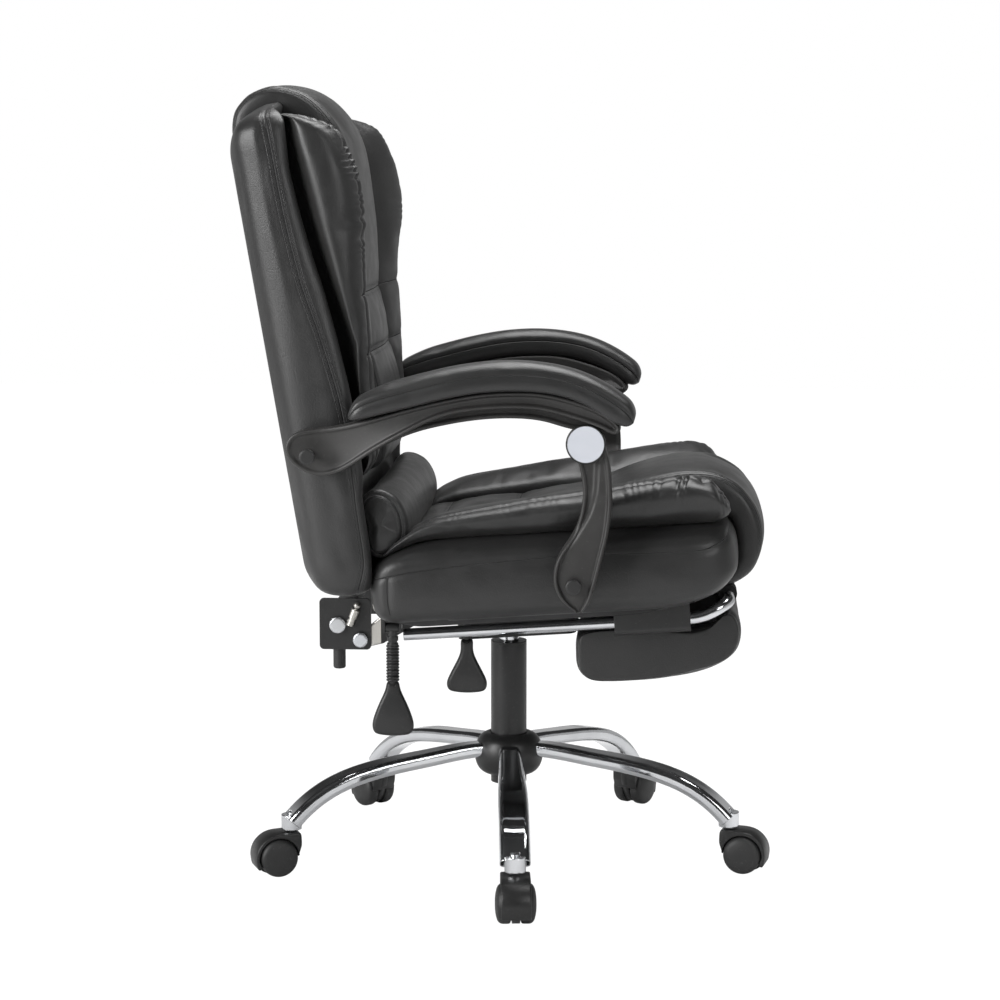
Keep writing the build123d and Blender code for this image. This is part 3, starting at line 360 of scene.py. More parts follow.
for material, names in finishes:
    for name in names:
        nodes[name].data.materials.clear()
        nodes[name].data.materials.append(material)
print("finishes ready")


mm = 0.001
noSeam = 60.0  # a gap in mm at which nothing is sewn
noTuft = 90.0


def ease(value):  # 0 to 1, level at both ends
    t = np.clip(value, 0, 1)
    return t * t * (3 - 2 * t)


def bump(distance, width):  # bell of height 1
    return np.exp(-((distance / width) ** 2))


def most(first, *others):
    for other in others:
        first = np.maximum(first, other)
    return first


def ringsOf(x, y, z):
    return np.stack(np.broadcast_arrays(x, y, z), axis=-1).astype(float)


def drawnIn(rows, ends):  # 0 to 1 over the first rows, 1 between, back to 0 over the last
    return np.concatenate([np.linspace(0, 1, ends), np.ones(rows - 2 * ends), np.linspace(1, 0, ends)])


def lengthAlong(line):
    return np.concatenate([[0.0], np.cumsum(np.linalg.norm(np.diff(line, axis=0), axis=1))])


# smooth line through knots that never overshoots: cubic pieces with limited slopes
def lineThrough(pairs, at):
    knots, values = np.array(pairs, float).T
    step = np.diff(knots)
    slope = np.diff(values) / step
    both = slope[:-1] * slope[1:]
    middle = np.where(both > 0, 2 * both / np.where(both > 0, slope[:-1] + slope[1:], 1.0), 0.0)
    lean = np.concatenate([slope[:1], middle, slope[-1:]])
    at = np.clip(at, knots[0], knots[-1])
    i = np.clip(np.searchsorted(knots, at, side="right") - 1, 0, len(step) - 1)
    t = (at - knots[i]) / step[i]
    keep = (1 + 2 * t) * (1 - t) ** 2
    reach = t * t * (3 - 2 * t)
    swing = t * (1 - t) ** 2 * lean[i] + t * t * (t - 1) * lean[i + 1]
    return keep * values[i] + reach * values[i + 1] + step[i] * swing


# smooth curve through points, spaced evenly: cubic spline on the root of the chord lengths, closed or open
def curveWeights(points, count, closed):
    p = np.array(points, float)
    n = len(p)
    one = np.eye(n)
    h = np.sqrt(np.linalg.norm(np.roll(p, -1, axis=0) - p, axis=1))
    rise = (np.roll(one, -1, axis=0) - one) / h[:, None]
    i = np.arange(n)
    table = np.zeros((n, n))
    before = np.roll(h, 1)
    table[i, i] = 2 * (before + h)
    table[i, (i - 1) % n] += before
    table[i, (i + 1) % n] += h
    right = 6 * (rise - np.roll(rise, 1, axis=0))
    if not closed:
        table[[0, -1]] = 0
        table[0, 0] = table[-1, -1] = 1
        right[[0, -1]] = 0
    bend = np.linalg.solve(table, right)
    spans = n if closed else n - 1
    knots = np.concatenate([[0.0], np.cumsum(h[:spans])])
    t = np.linspace(0, knots[-1], 40 * count)
    k = np.clip(np.searchsorted(knots, t, side="right") - 1, 0, spans - 1)
    b = ((t - knots[k]) / h[k])[:, None]
    a = 1 - b
    j = (k + 1) % n
    sway = (a**3 - a) * bend[k] + (b**3 - b) * bend[j]
    dense = a * one[k] + b * one[j] + sway * (h[k] ** 2)[:, None] / 6
    length = lengthAlong(dense @ p)
    even = np.linspace(0, length[-1], count, endpoint=not closed)
    places = np.interp(knots[:n] if closed else knots, t, length) / length[-1]
    return np.stack([np.interp(even, length, dense[:, k]) for k in range(n)], axis=1), places


def curveThrough(points, count, closed):
    weights, places = curveWeights(points, count, closed)
    return weights @ np.array(points, float), places


# closed outline of a box with round corners, from -1 to 1 both ways, evenly spaced: a high-power ellipse
def softBox(count, power, wide, deep):
    turn = np.linspace(0, 2 * np.pi, 4001)
    c, s = np.cos(turn), np.sin(turn)
    x = np.sign(c) * np.abs(c) ** (2 / power)
    y = np.sign(s) * np.abs(s) ** (2 / power)
    length = lengthAlong(np.stack([wide * x, deep * y], axis=1))
    even = np.linspace(0, length[-1], count, endpoint=False)
    return np.interp(even, length, x), np.interp(even, length, y)


# distance round each ring from one column, and distance along the rings at one column
def roundFrom(rings, column):
    ahead = np.linalg.norm(np.roll(rings, -1, axis=1) - rings, axis=2)
    run = np.concatenate([np.zeros((len(rings), 1)), np.cumsum(ahead, axis=1)], axis=1)
    away = run[:, :-1] - run[:, column : column + 1]
    whole = np.maximum(run[:, -1:], 1e-6)
    return (away + whole / 2) % whole - whole / 2


def alongAt(rings, column):
    return lengthAlong(rings[:, column])[:, None] + np.zeros(rings.shape[1])


def nearest(*seams):  # each seam is (gap, run); the closest one wins at every point
    gaps = np.stack([np.broadcast_to(np.abs(gap), seams[0][0].shape) for gap, run in seams])
    runs = np.stack([np.broadcast_to(run, seams[0][0].shape) for gap, run in seams])
    pick = gaps.argmin(axis=0)[None]
    return np.take_along_axis(gaps, pick, 0)[0], np.take_along_axis(runs, pick, 0)[0]


# local millimetres to the row frame in metres: X and Z turned about Y, moved, then turned about the column
def placed(points, x, z, lean, turn=0.0):
    a, b = np.radians(lean), np.radians(turn)
    along = x + points[..., 0] * np.cos(a) - points[..., 2] * np.sin(a)
    out = np.empty_like(points)
    out[..., 0] = along * np.cos(b) - points[..., 1] * np.sin(b)
    out[..., 1] = along * np.sin(b) + points[..., 1] * np.cos(b)
    out[..., 2] = z + points[..., 0] * np.sin(a) + points[..., 2] * np.cos(a)
    return out * mm


onSeat = {"x": 0.0, "z": 384.0, "lean": 4.0}
onBack = {"x": -245.0, "z": 410.0, "lean": 9.6}
onFloor = {"x": 0.0, "z": 0.0, "lean": 0.0}
frames = {"seat": onSeat, "back": onBack, "arms": onFloor, "footrest_flap": onSeat}


# rings of points (rows along the piece, columns round it) to a closed mesh with its attributes
def ringsToPiece(name, rings, place, marks, capped=False):
    rows, columns = rings.shape[:2]
    index = np.arange(rows * columns).reshape(rows, columns)
    beside = np.roll(index, -1, axis=1)
    faces = np.stack([index[:-1], beside[:-1], beside[1:], index[1:]], axis=-1).reshape(-1, 4)
    mesh = bpy.data.meshes.new(name)
    mesh.vertices.add(rows * columns)
    mesh.vertices.foreach_set("co", placed(rings, **place).astype(np.float32).ravel())
    mesh.loops.add(faces.size)
    mesh.loops.foreach_set("vertex_index", faces.astype(np.int32).ravel())
    mesh.polygons.add(len(faces))
    mesh.polygons.foreach_set("loop_start", np.arange(0, faces.size, 4, dtype=np.int32))
    for key, values in marks.items():
        mark = mesh.attributes.new(key, "FLOAT", "POINT")
        mark.data.foreach_set("value", np.broadcast_to(values, (rows, columns)).astype(np.float32).ravel())
    mesh.update()
    mesh.validate()
    work = bmesh.new()
    work.from_mesh(mesh)
    bmesh.ops.remove_doubles(work, verts=work.verts, dist=0.00002)
    bmesh.ops.dissolve_degenerate(work, edges=work.edges, dist=0.00001)
    if capped:
        rims = [edge for edge in work.edges if edge.is_boundary]
        caps = bmesh.ops.holes_fill(work, edges=rims, sides=0)["faces"]
        bmesh.ops.triangulate(work, faces=caps)
    bmesh.ops.recalc_face_normals(work, faces=work.faces)
    if work.calc_volume(signed=True) < 0:
        bmesh.ops.reverse_faces(work, faces=work.faces)
    work.to_mesh(mesh)
    work.free()
    mesh.polygons.foreach_set("use_smooth", np.ones(len(mesh.polygons), bool))
    piece = bpy.data.objects.new(name, mesh)
    scene.collection.objects.link(piece)
    return piece


def read(items, key, size):
    values = np.zeros(len(items) * size, np.float32)
    items.foreach_get(key, values)
    return values.reshape(-1, size).astype(float)


def marked(piece, key):
    return read(piece.data.attributes[key].data, "value", 1)[:, 0]


def points(mesh):
    return read(mesh.vertices, "co", 3)


def outward(mesh):
    return read(mesh.vertex_normals, "vector", 3)


def movePoints(mesh, co):
    mesh.vertices.foreach_set("co", co.astype(np.float32).ravel())
    mesh.update()


def evened(mesh, values, rounds):  # each point's value drawn half way to its neighbours' mean, again and again
    ends = np.zeros(len(mesh.edges) * 2, np.int32)
    mesh.edges.foreach_get("vertices", ends)
    first, second = ends.reshape(-1, 2).T
    count = np.bincount(ends, minlength=len(values))[:, None]
    for turn in range(rounds):
        total = np.zeros_like(values)
        np.add.at(total, first, values[second])
        np.add.at(total, second, values[first])
        values = (values + total / np.maximum(count, 1)) / 2
    return values


# stuffing: cloth blown up a little from inside, held where "hold" is 1, its travel capped
cloth = {
    "quality": 4, "mass": 0.25, "tension_stiffness": 12.0, "compression_stiffness": 12.0, "shear_stiffness": 6.0,
    "bending_stiffness": 1.5, "use_pressure": True, "vertex_group_mass": "hold",
}
fillFrames = 14


def stuff(piece, pressure, slack, cap):
    start = points(piece.data)
    hold = marked(piece, "hold")
    group = piece.vertex_groups.new(name="hold")
    for level in range(1, 11):
        chosen = np.nonzero(np.round(hold * 10) == level)[0]
        group.add(chosen.tolist(), level / 10, "REPLACE")
    filling = piece.modifiers.new("stuffing", "CLOTH")
    for key, value in {**cloth, "uniform_pressure_force": pressure, "shrink_min": -slack}.items():
        setattr(filling.settings, key, value)
    filling.settings.effector_weights.gravity = 0.0
    filling.collision_settings.use_collision = False
    filling.point_cache.frame_start = 1
    filling.point_cache.frame_end = fillFrames
    for step in range(1, fillFrames + 1):
        scene.frame_set(step)
    filled = piece.evaluated_get(bpy.context.evaluated_depsgraph_get())
    moved = points(filled.data) - start
    piece.modifiers.remove(filling)
    piece.vertex_groups.remove(group)
    far = np.linalg.norm(moved, axis=1, keepdims=True)
    moved = evened(piece.data, moved * np.minimum(1.0, cap / np.maximum(far, 1e-9)), 6)
    movePoints(piece.data, start + moved)
    scene.frame_set(1)
    print("stuffed", piece.name, "by up to", round(float(np.linalg.norm(moved, axis=1).max()) / mm, 1), "mm")


def sew(piece, depth, width, key="seamGap"):  # seams pulled in
    mesh = piece.data
    pull = bump(marked(piece, key), width) * depth
    movePoints(mesh, points(mesh) - outward(mesh) * pull[:, None])


def addFiner(piece):  # one smooth subdivision
    finer = piece.modifiers.new("finer", "SUBSURF")
    finer.levels = finer.render_levels = 1
    return finer


def refine(piece):  # the same, kept
    finer = addFiner(piece)
    shape = piece.evaluated_get(bpy.context.evaluated_depsgraph_get())
    piece.data = bpy.data.meshes.new_from_object(shape)
    piece.modifiers.remove(finer)


# gathers: creases of uneven spacing, length and depth between round folds, dying away from their seam
def gather(piece, spacing, reach, depth, seed):
    mesh = piece.data
    run, gap, share = (marked(piece, key) for key in ("gatherRun", "gatherGap", "gatherShare"))
    phase = np.random.default_rng(seed).uniform(0, 2 * np.pi, 8)
    wave = lambda length, number: np.sin(run / length + phase[number])
    drift = 1.1 * wave(0.0097, 0) + 1.3 * wave(0.0211, 1) + 0.5 * wave(0.0053, 6)
    slant = 1.2 * gap / 0.03 * wave(0.027, 2)
    fold = np.abs(np.cos(np.pi * run / spacing + drift + slant)) ** 0.8
    long = reach * (1 + 0.32 * wave(0.0113, 3) + 0.18 * wave(0.0257, 4))
    deep = depth * np.clip(0.9 + 0.35 * wave(0.0181, 5) + 0.2 * wave(0.0427, 7), 0.35, 1.4)
    lift = deep * share * (fold - 0.75) * bump(gap, long) * (0.35 + 0.65 * ease(gap / 0.007))
    movePoints(mesh, points(mesh) + outward(mesh) * lift[:, None])


def dress(piece, material, body, node):
    piece.data.materials.append(material)
    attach(piece, body)
    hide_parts(node)
    print("made", piece.name, len(piece.data.vertices), "points")


# soft piece: seam marks in metres, then stuffing, sewing and finish
def makeSoft(name, node, body, material, rings, gap, run, hold, look):
    marks = {"seamGap": gap * mm, "seamRun": run * mm, "hold": hold}
    piece = ringsToPiece(name, rings, frames[body], marks)
    stuff(piece, *look["stuff"])
    sew(piece, *look["sew"])
    addFiner(piece)
    dress(piece, material, body, node)


def makeHard(name, node, body, material, rings, place=onFloor):
    dress(ringsToPiece(name, rings, place, {}, True), material, body, node)


# seat base: round-cornered slices stacked up, wide below the shoulder seam and drawn in above it
seatBase = {
    "front": [(-18.5, 208), (-8, 244), (-2, 265), (5, 284), (14, 300), (40, 317), (70, 316), (92, 309),
              (100, 288)],
    "rear": [(-18.5, -120), (-10, -142), (-5, -153), (0, -160), (8, -165), (30, -168), (52, -167), (74, -156),
             (90, -124), (100, -84)],
    "side": [(-18.5, 204), (-10, 224), (-5, 234), (0, 240), (6, 245), (14, 248), (60, 248), (74, 246),
             (86, 238), (95, 226), (100, 206)],
    "seam": [(-148, 56), (-102, 64), (-19, 69.5), (87, 74), (267, 70), (300, 80), (318, 92)],
    "rearSeam": -140.0, "columns": 236, "power": 11.0, "squareRear": 0.5, "fuller": 4.0,
    "seamLevel": 70, "core": 12.0, "stuff": (3.0, 0.004, 0.0025), "sew": (0.0016, 0.004), "fill": 0.7,
}


def makeSeatBase():
    look, ends = seatBase, 7
    low, top = look["side"][0][0], look["side"][-1][0]
    lower, upper = [-17, -12, -6, -5, 1, 6, 12], [91.5, 94.5, 97, 98.8, 99.7]
    z = np.concatenate([np.full(ends, low), lower, np.linspace(19, 88, 17), upper, np.full(ends, top)])
    inset = drawnIn(len(z), ends)[:, None]
    c, s = softBox(look["columns"], look["power"], 240, 250)
    c = np.where(c < 0, -np.abs(c) ** look["squareRear"], c)
    row = np.abs(z - look["seamLevel"]).argmin()
    ahead, behind = (lineThrough(look[key], z[row]) for key in ("front", "rear"))
    rise = lineThrough(look["seam"], (ahead + behind) / 2 + (ahead - behind) / 2 * c) - z[row]
    share = np.where(z < z[row], (z - low) / (z[row] - low), (top - z) / (top - z[row]))
    height = z[:, None] + share[:, None] * rise
    front, rear, side = (lineThrough(look[key], height) for key in ("front", "rear", "side"))
    reach = look["core"] + inset * ((front - rear) / 2 - look["core"])
    rings = ringsOf((front + rear) / 2 + reach * c, inset * side * s, height)
    middle = ease((-100 - rings[..., 0]) / 50) * ease((215 - np.abs(rings[..., 1])) / 60)
    rings[..., 0] -= look["fuller"] * middle * ease((height - 4) / 20) * ease((78 - height) / 20)
    run = alongAt(rings.transpose(1, 0, 2), 16).T
    line = rings[row]
    columns = [np.hypot(line[:, 0] - look["rearSeam"], line[:, 1] - y).argmin() for y in (246, -246)]
    corner, along = nearest(*[(roundFrom(rings, column), height) for column in columns])
    corner = np.where(z[:, None] <= z[row], corner, noSeam)
    gap, along = nearest((height - height[row], run), (corner, along))
    gap = np.where((inset > 0.999) & (height > 3), gap, noSeam)
    gap = np.where(height < -5.5, 0.0, gap)  # the underside takes the crease's painted shade, near black as in deep shadow
    hold = most((height < 6) | (inset < 0.95), bump(gap, 5.0))
    makeSoft("seatBase", "seat_base_cushion", "seat", leather, rings, gap, along, hold, look)


def pairedLine(ring):  # a line across Y through the ring's middle, its two sides paired point by point
    low, columns = ring[:, 1].argmin(), len(ring)
    share = 1 - np.abs(2 * ((np.arange(columns) - low) % columns) / columns - 1)
    line = np.repeat(ring.mean(axis=0, keepdims=True), columns, axis=0)
    line[:, 1] = ring[:, 1].min() + np.ptp(ring[:, 1]) * share
    return line


def closeEnds(rings, *marks):  # both ends drawn to such a line so that the mesh shuts
    shut = np.concatenate([pairedLine(rings[0])[None], rings, pairedLine(rings[-1])[None]])
    return [shut] + [np.concatenate([mark[:1], mark, mark[-1:]]) for mark in marks]


def mirrored(half):  # a loop from its right half
    return half + [(-p, q) for p, q in half[::-1] if p > 0]


# strap: a padded band over a base line; each section is a flat-bottomed loop with upright gussets
strapHalf = [(0.5, 0), (0.93, 0.0), (0.995, 0.12), (1.0, 0.5), (0.99, 0.80), (0.955, 0.955), (0.80, 1.0),
             (0.4, 1.05), (0, 1.07)]
strapLoop = [(-0.5, 0)] + mirrored(strapHalf)[:-1]
strap = {
    "half": 120.0, "tall": 30.0, "columns": 84, "endShare": 0.02, "tuftDepth": 1.8, "edges": (6, 12),
    "runAt": 40, "sew": (0.0014, 0.004), "fill": 0.6,
}
seatStrap = {
    "top": [(294, -3), (318, 4), (338, 19), (349, 42), (354, 66), (350, 92), (339, 117), (321, 138), (297, 151),
            (268, 156), (228, 153), (172, 140), (120, 126), (70, 119), (20, 114), (-30, 111), (-80, 107),
            (-112, 102), (-134, 91), (-146, 82)],
    "base": [(292, 3), (302, 15), (312, 28), (317.6, 40), (317.4, 60), (315, 78), (311, 90), (303, 95),
             (292, 99), (268, 100.4), (228, 100.4), (172, 100.4), (120, 100.4), (70, 100.4), (20, 100.4),
             (-30, 100.4), (-80, 100.4), (-112, 94), (-134, 84), (-146, 77)],
    "rows": 120, "tufts": (120.0, 20.0, -80.0), "tuftRows": (60, 120), "measure": 0, "press": 2, "tuftWidth": 9.0,
    "wrap": 0.0, "stuff": (4.0, 0.01, 0.005), **strap,
}
backStrap = {
    "top": [(104, 131), (114, 165), (121, 215), (121, 250), (119, 291), (118, 330), (118, 370), (121, 410),
            (126, 450), (129, 500), (130, 545), (127, 580), (119, 605), (104, 628), (84, 646), (64, 656),
            (43, 660), (20, 656), (0, 647), (-13, 634), (-19, 617), (-21, 600), (-21, 580)],
    "base": [(75, 131), (68, 165), (69, 215), (69, 250), (67, 291), (64, 330), (60, 370), (55, 410), (50, 450),
             (45, 500), (42, 545), (43, 580), (46, 596), (47, 608), (45, 616), (42, 620), (38, 622), (30, 622),
             (22, 619), (14, 612), (6, 603), (-4, 592), (-12, 578)],
    "rows": 160, "tufts": (370.0, 291.0), "tuftRows": (0, 75), "measure": 1, "press": 0, "tuftWidth": 7.0,
    "wrap": 5.0, "stuff": (4.0, 0.01, 0.004), **strap,
}


def makeStrap(name, node, body, look):
    half, end = look["half"], np.linspace(0, 1, look["rows"])
    top, places = curveThrough(look["top"], look["rows"], False)
    under = np.stack([np.interp(end, places, line) for line in np.array(look["base"], float).T], axis=1)
    section, marks = curveThrough(np.array(strapLoop) * (half, look["tall"]), look["columns"], True)
    p, q = section[:, 0], section[:, 1] / look["tall"]
    near = np.minimum(end, 1 - end) / look["endShare"]
    close = np.sqrt(np.clip(1 - (1 - near).clip(0, 1) ** 2, 0.0, 1))
    rise = (top - under)[:, None, :] * q[None, :, None] * np.maximum(close, 0.02)[:, None, None]
    across = p * (0.90 + 0.10 * close)[:, None]
    rings = ringsOf(under[:, :1] + rise[..., 0], across, under[:, 1:] + rise[..., 1])
    face = ease((q - 0.8) / 0.15)[None, :]
    rings[..., 0] += look["wrap"] * (rings[..., 1] / half) ** 2 * ease((40 - rings[..., 0]) / 50)
    run = alongAt(rings, look["runAt"])
    tuft = np.full(run.shape, noTuft)
    first, last = look["tuftRows"]
    for level in look["tufts"]:
        row = first + np.abs(top[first:last, look["measure"]] - level).argmin()
        away = run - run[row, 0]
        tuft = np.where(np.abs(away) < np.abs(tuft), away, tuft)
        rings[..., look["press"]] -= look["tuftDepth"] * bump(away, look["tuftWidth"]) * face
    edge = nearest(*[(roundFrom(rings, int(round(marks[k] * look["columns"]))), run) for k in look["edges"]])
    gap, along = nearest(edge, (np.where(face > 0.5, tuft, noSeam), rings[..., 1]))
    hold = most((q < 0.06)[None, :], bump(edge[0], 5.0), bump(tuft, 5.0) * face)
    makeSoft(name, node, body, stitched, *closeEnds(rings, gap, along, hold), look)


# bolster: a closed section of (across, up, swell), flat where it rests, bulged outside, seam near its outer edge
bolsterTop = [(0.985, 0.80, 0.95), (0.93, 0.925, 0.6), (0.82, 1.0, 0.1), (0.66, 0.985, 0.0), (0.44, 0.90, 0.0),
              (0.22, 0.79, 0.0), (0.07, 0.65, 0.0), (0.0, 0.42, 0.0), (0.0, 0.16, 0.0), (0.06, 0.0, 0.0)]
seatBolster = [(0.5, 0.0, 0.0), (0.84, 0.0, 0.0), (0.92, 0.06, 0.0), (0.97, 0.18, 0.1), (1.0, 0.34, 0.4),
               (1.0, 0.5, 0.72), (1.0, 0.66, 0.97)] + bolsterTop
backBolster = [(0.4, 0.0, 0.0), (0.66, 0.0, 0.0), (0.73, 0.06, 0.0), (0.76, 0.20, 0.0), (0.84, 0.31, 0.05),
               (0.95, 0.385, 0.4), (1.0, 0.48, 0.85), (1.0, 0.64, 1.0)] + bolsterTop


def bolsterSection(loop, columns, wide, tall):
    scale = np.array([wide, tall, 18.0])
    section, marks = curveThrough(np.array(loop) * scale, columns, True)
    crest, inner = (int(round(marks[len(loop) - len(bolsterTop) + k] * columns)) for k in (2, 7))
    return (section / scale).T, crest, inner


# places along a pad, closer at its ends, and how full the pad is there
def stations(start, end, count, radius):
    u = np.linspace(0, 1, count)
    at = start + (end - start) * (0.72 * u + 0.28 * (1 - np.cos(np.pi * u)) / 2)
    edge = np.minimum(at - start, end - at) / radius
    full = np.sqrt(1 - (1 - np.clip(edge, 0, 1)) ** 2)
    return at, full


lobe = {
    "stuff": (4.0, 0.008, 0.004), "crestSew": (0.0030, 0.005), "sew": (0.0010, 0.0025), "fill": 0.6,
    "tuftDepth": 1.8, "tuftWidth": 7.0,
}


# the bolster's tufts, seams, gathers and filling
def finishLobe(name, node, body, look, rings, section, along, share, face, folds, seed):
    q, crest, inner = section[0][1], *section[1:]
    tuft, extra = np.full(rings.shape[:2], noTuft), []
    for level in look["tufts"]:
        away = (along - along[np.abs(along - level).argmin()])[:, None] + 0 * q
        tuft = np.where(np.abs(away) < np.abs(tuft), away, tuft)
        rings[..., 0] -= lobe["tuftDepth"] * bump(away, lobe["tuftWidth"]) * face
        extra = [(np.where(face > 0.5, tuft, noSeam), rings[..., 1])]
    gap, run = np.abs(roundFrom(rings, crest)), alongAt(rings, crest)
    share = share[:, None] + 0 * gap
    sewn = nearest((gap, run), *extra)
    low = bump(roundFrom(rings, inner), 6.0)
    hold = most((q < 0.04)[None, :], bump(gap, 4.0), low, bump(tuft, 5.0) * face)
    rings, gap, run, share, hold, sewnGap, sewnRun = closeEnds(rings, gap, run, share, hold, *sewn)
    marks = {"seamGap": sewnGap * mm, "seamRun": sewnRun * mm, "hold": hold,
             "gatherGap": gap * mm, "gatherRun": run * mm, "gatherShare": share}
    piece = ringsToPiece(name, rings, frames[body], marks)
    stuff(piece, *lobe["stuff"])
    refine(piece)
    gather(piece, *look["folds"], folds, seed)
    sew(piece, *lobe["crestSew"], "gatherGap")
    sew(piece, *lobe["sew"])
    dress(piece, leather, body, node)


seatLobe = {
    "height": [(-148, 10), (-120, 15), (-96, 22), (-60, 30), (60, 44), (148, 52), (205, 58), (262, 61),
               (288, 54), (303, 42), (310, 36)],
    "under": [(-148, 77), (-122, 90), (-96, 98), (-70, 100.6), (311, 100.6)],
    "swell": [(-148, 4), (-60, 10), (60, 14), (200, 17), (310, 17)],
    "inner": 122.0, "outer": 227.0, "from": -148.0, "to": 311.0, "rows": 144, "columns": 64, "tufts": (),
    "folds": (0.0150, 0.0270),
    "gathers": [(-148, 0.05), (60, 0.08), (150, 0.16), (205, 0.3), (234, 0.9), (295, 1.0), (311, 0.8)],
}


def makeSeatLobe(name, side, node, seed, folds):
    look = seatLobe
    x, full = stations(look["from"], look["to"], look["rows"], 30.0)
    section = bolsterSection(seatBolster, look["columns"], 105, 55)
    p, q, w = section[0]
    keep, height = np.maximum(full, 0.02), lineThrough(look["height"], x)
    swell = lineThrough(look["swell"], x) * full
    across = 0.5 + (p - 0.5) * (0.82 + 0.18 * full)[:, None]
    y = look["inner"] + across * (look["outer"] - look["inner"]) + swell[:, None] * w
    foot = lineThrough(look["under"], x) + 0.42 * height * (1 - keep)
    rings = ringsOf(x[:, None], side * y, foot[:, None] + q * (height * keep)[:, None])
    share = lineThrough(look["gathers"], x) * full
    finishLobe(name, node, "seat", look, rings, section, x, share, 0 * q[None, :], folds, seed)


# back shell: slices stacked up the lean, each a smooth loop with a bulged rear, puffed sides, a seam,
# a round border and a groove behind it
backShell = {
    "rear": [(-15.5, 44), (-12.5, 24), (-5.5, 10), (8, 3), (34, 0), (604, 0), (622, 3), (633, 10), (639, 21),
             (642, 38)],
    "edge": [(-15.5, 62), (-11.5, 73), (0, 81), (40, 87), (110, 89), (150, 96), (242, 98), (300, 95), (381, 88),
             (438, 80), (509, 73), (554, 71), (600, 73), (625, 74), (636, 69), (642, 58)],
    "seam": [(-15.5, 60), (38, 80), (112, 82), (218, 84), (318, 74), (410, 59), (511, 53), (605, 52), (642, 50)],
    "side": [(-15.5, 222), (-10.5, 236), (2, 244), (30, 247), (600, 247), (622, 245), (634, 238), (640, 228),
             (642, 214)],
    "groove": [(-15.5, 3), (40, 12), (115, 14), (160, 30), (600, 30), (625, 20), (642, 4)],
    "bulge": 20.0, "drop": 20.0, "columns": 240,
    "stuff": (3.0, 0.004, 0.0025), "sew": (0.0016, 0.004), "fill": 0.7,
}


def shellFloor(z):
    return lineThrough(backShell["edge"], z) - lineThrough(backShell["groove"], z) + 1.0


def makeBackShell():
    look, ends = backShell, 6
    low, top = look["rear"][0][0], look["rear"][-1][0]
    lower, upper = [-14, -11.5, -7, 0, 10], [608, 615, 621, 626.5, 631, 635, 638, 640.3, 641.6]
    z = np.concatenate([np.full(ends, low), lower, np.linspace(22, 600, 70), upper, np.full(ends, top)])
    inset = drawnIn(len(z), ends)[:, None]
    rear, edge, side, groove = (lineThrough(look[key], z) for key in ("rear", "edge", "side", "groove"))
    seam = np.minimum(lineThrough(look["seam"], z), edge - 8)
    wide, floor = seam - rear, edge - groove
    bulge = look["bulge"] * ease((top - z) / 60) * ease((z - low) / 40)
    half = [
        (rear - bulge, 0 * z), (rear - 0.82 * bulge, 0.42 * side), (rear - 0.32 * bulge, 0.8 * side),
        (rear + 1.5, side - 23), (rear + np.minimum(11, 0.18 * wide), side - 8.5),
        (rear + np.minimum(28, 0.47 * wide), side - 1), (rear + 0.70 * wide, side + 1.5),
        (seam, side - 0.5), (0.4 * seam + 0.6 * edge, side - 4), (edge, side - 12),
        (edge - 0.17 * groove, side - 18), (edge - 0.75 * groove, side - 22),
        (floor, side - 36), (floor, 0.6 * side), (floor, 0 * z),
    ]
    knots = np.array(half + [(x, -y) for x, y in half[-2:0:-1]]).transpose(2, 0, 1)
    weights, places = curveWeights(knots[40], look["columns"], True)
    flat = np.einsum("cn,rnk->rck", weights, knots)
    middle = ((rear + edge) / 2)[:, None]
    rings = ringsOf(middle + inset * (flat[..., 0] - middle), flat[..., 1] * (0.75 + 0.25 * inset), 0.0)
    rings[0], rings[-1] = pairedLine(rings[0]), pairedLine(rings[-1])
    rings[..., 2] = z[:, None] - look["drop"] * (rings[..., 1] / 240) ** 2 * ease((z - 520) / 100)[:, None]
    column = (places * look["columns"]).round().astype(int)
    gap, along = nearest(*[(roundFrom(rings, column[k]), rings[..., 2]) for k in (7, -7)])
    gap = np.where(inset > 0.999, gap, noSeam)
    front = np.zeros((1, look["columns"]))
    front[:, column[9] : column[-9]] = 1.0
    hold = most(inset < 0.99, bump(gap, 5.0), front)
    makeSoft("backShell", "back_shell", "back", stitched, rings, gap, along, hold, look)


backLobe = {
    "crest": [(133, 108), (168, 114), (251, 121), (303, 128), (347, 133), (381, 136), (428, 144), (464, 151),
              (500, 154), (529, 153), (550, 149), (575, 142), (593, 132), (607, 119), (619, 104)],
    "swell": [(133, 4), (274, 8), (336, 12), (404, 17), (520, 20), (619, 17)],
    "outer": [(133, 214), (336, 217), (404, 220), (520, 222), (619, 220)],
    "flare": [(133, 98), (180, 106), (230, 112), (274, 113), (336, 109), (404, 101), (474, 93), (544, 87),
              (585, 82), (620, 79)],
    "inner": 122.0, "from": 133.0, "to": 620.0, "rows": 150, "columns": 64, "tufts": (370.0, 291.0),
    "flareShare": 0.39, "folds": (0.0125, 0.0175),
    "gathers": [(133, 0.06), (390, 0.08), (430, 0.4), (465, 1.0), (605, 1.0), (620, 0.9)],
}


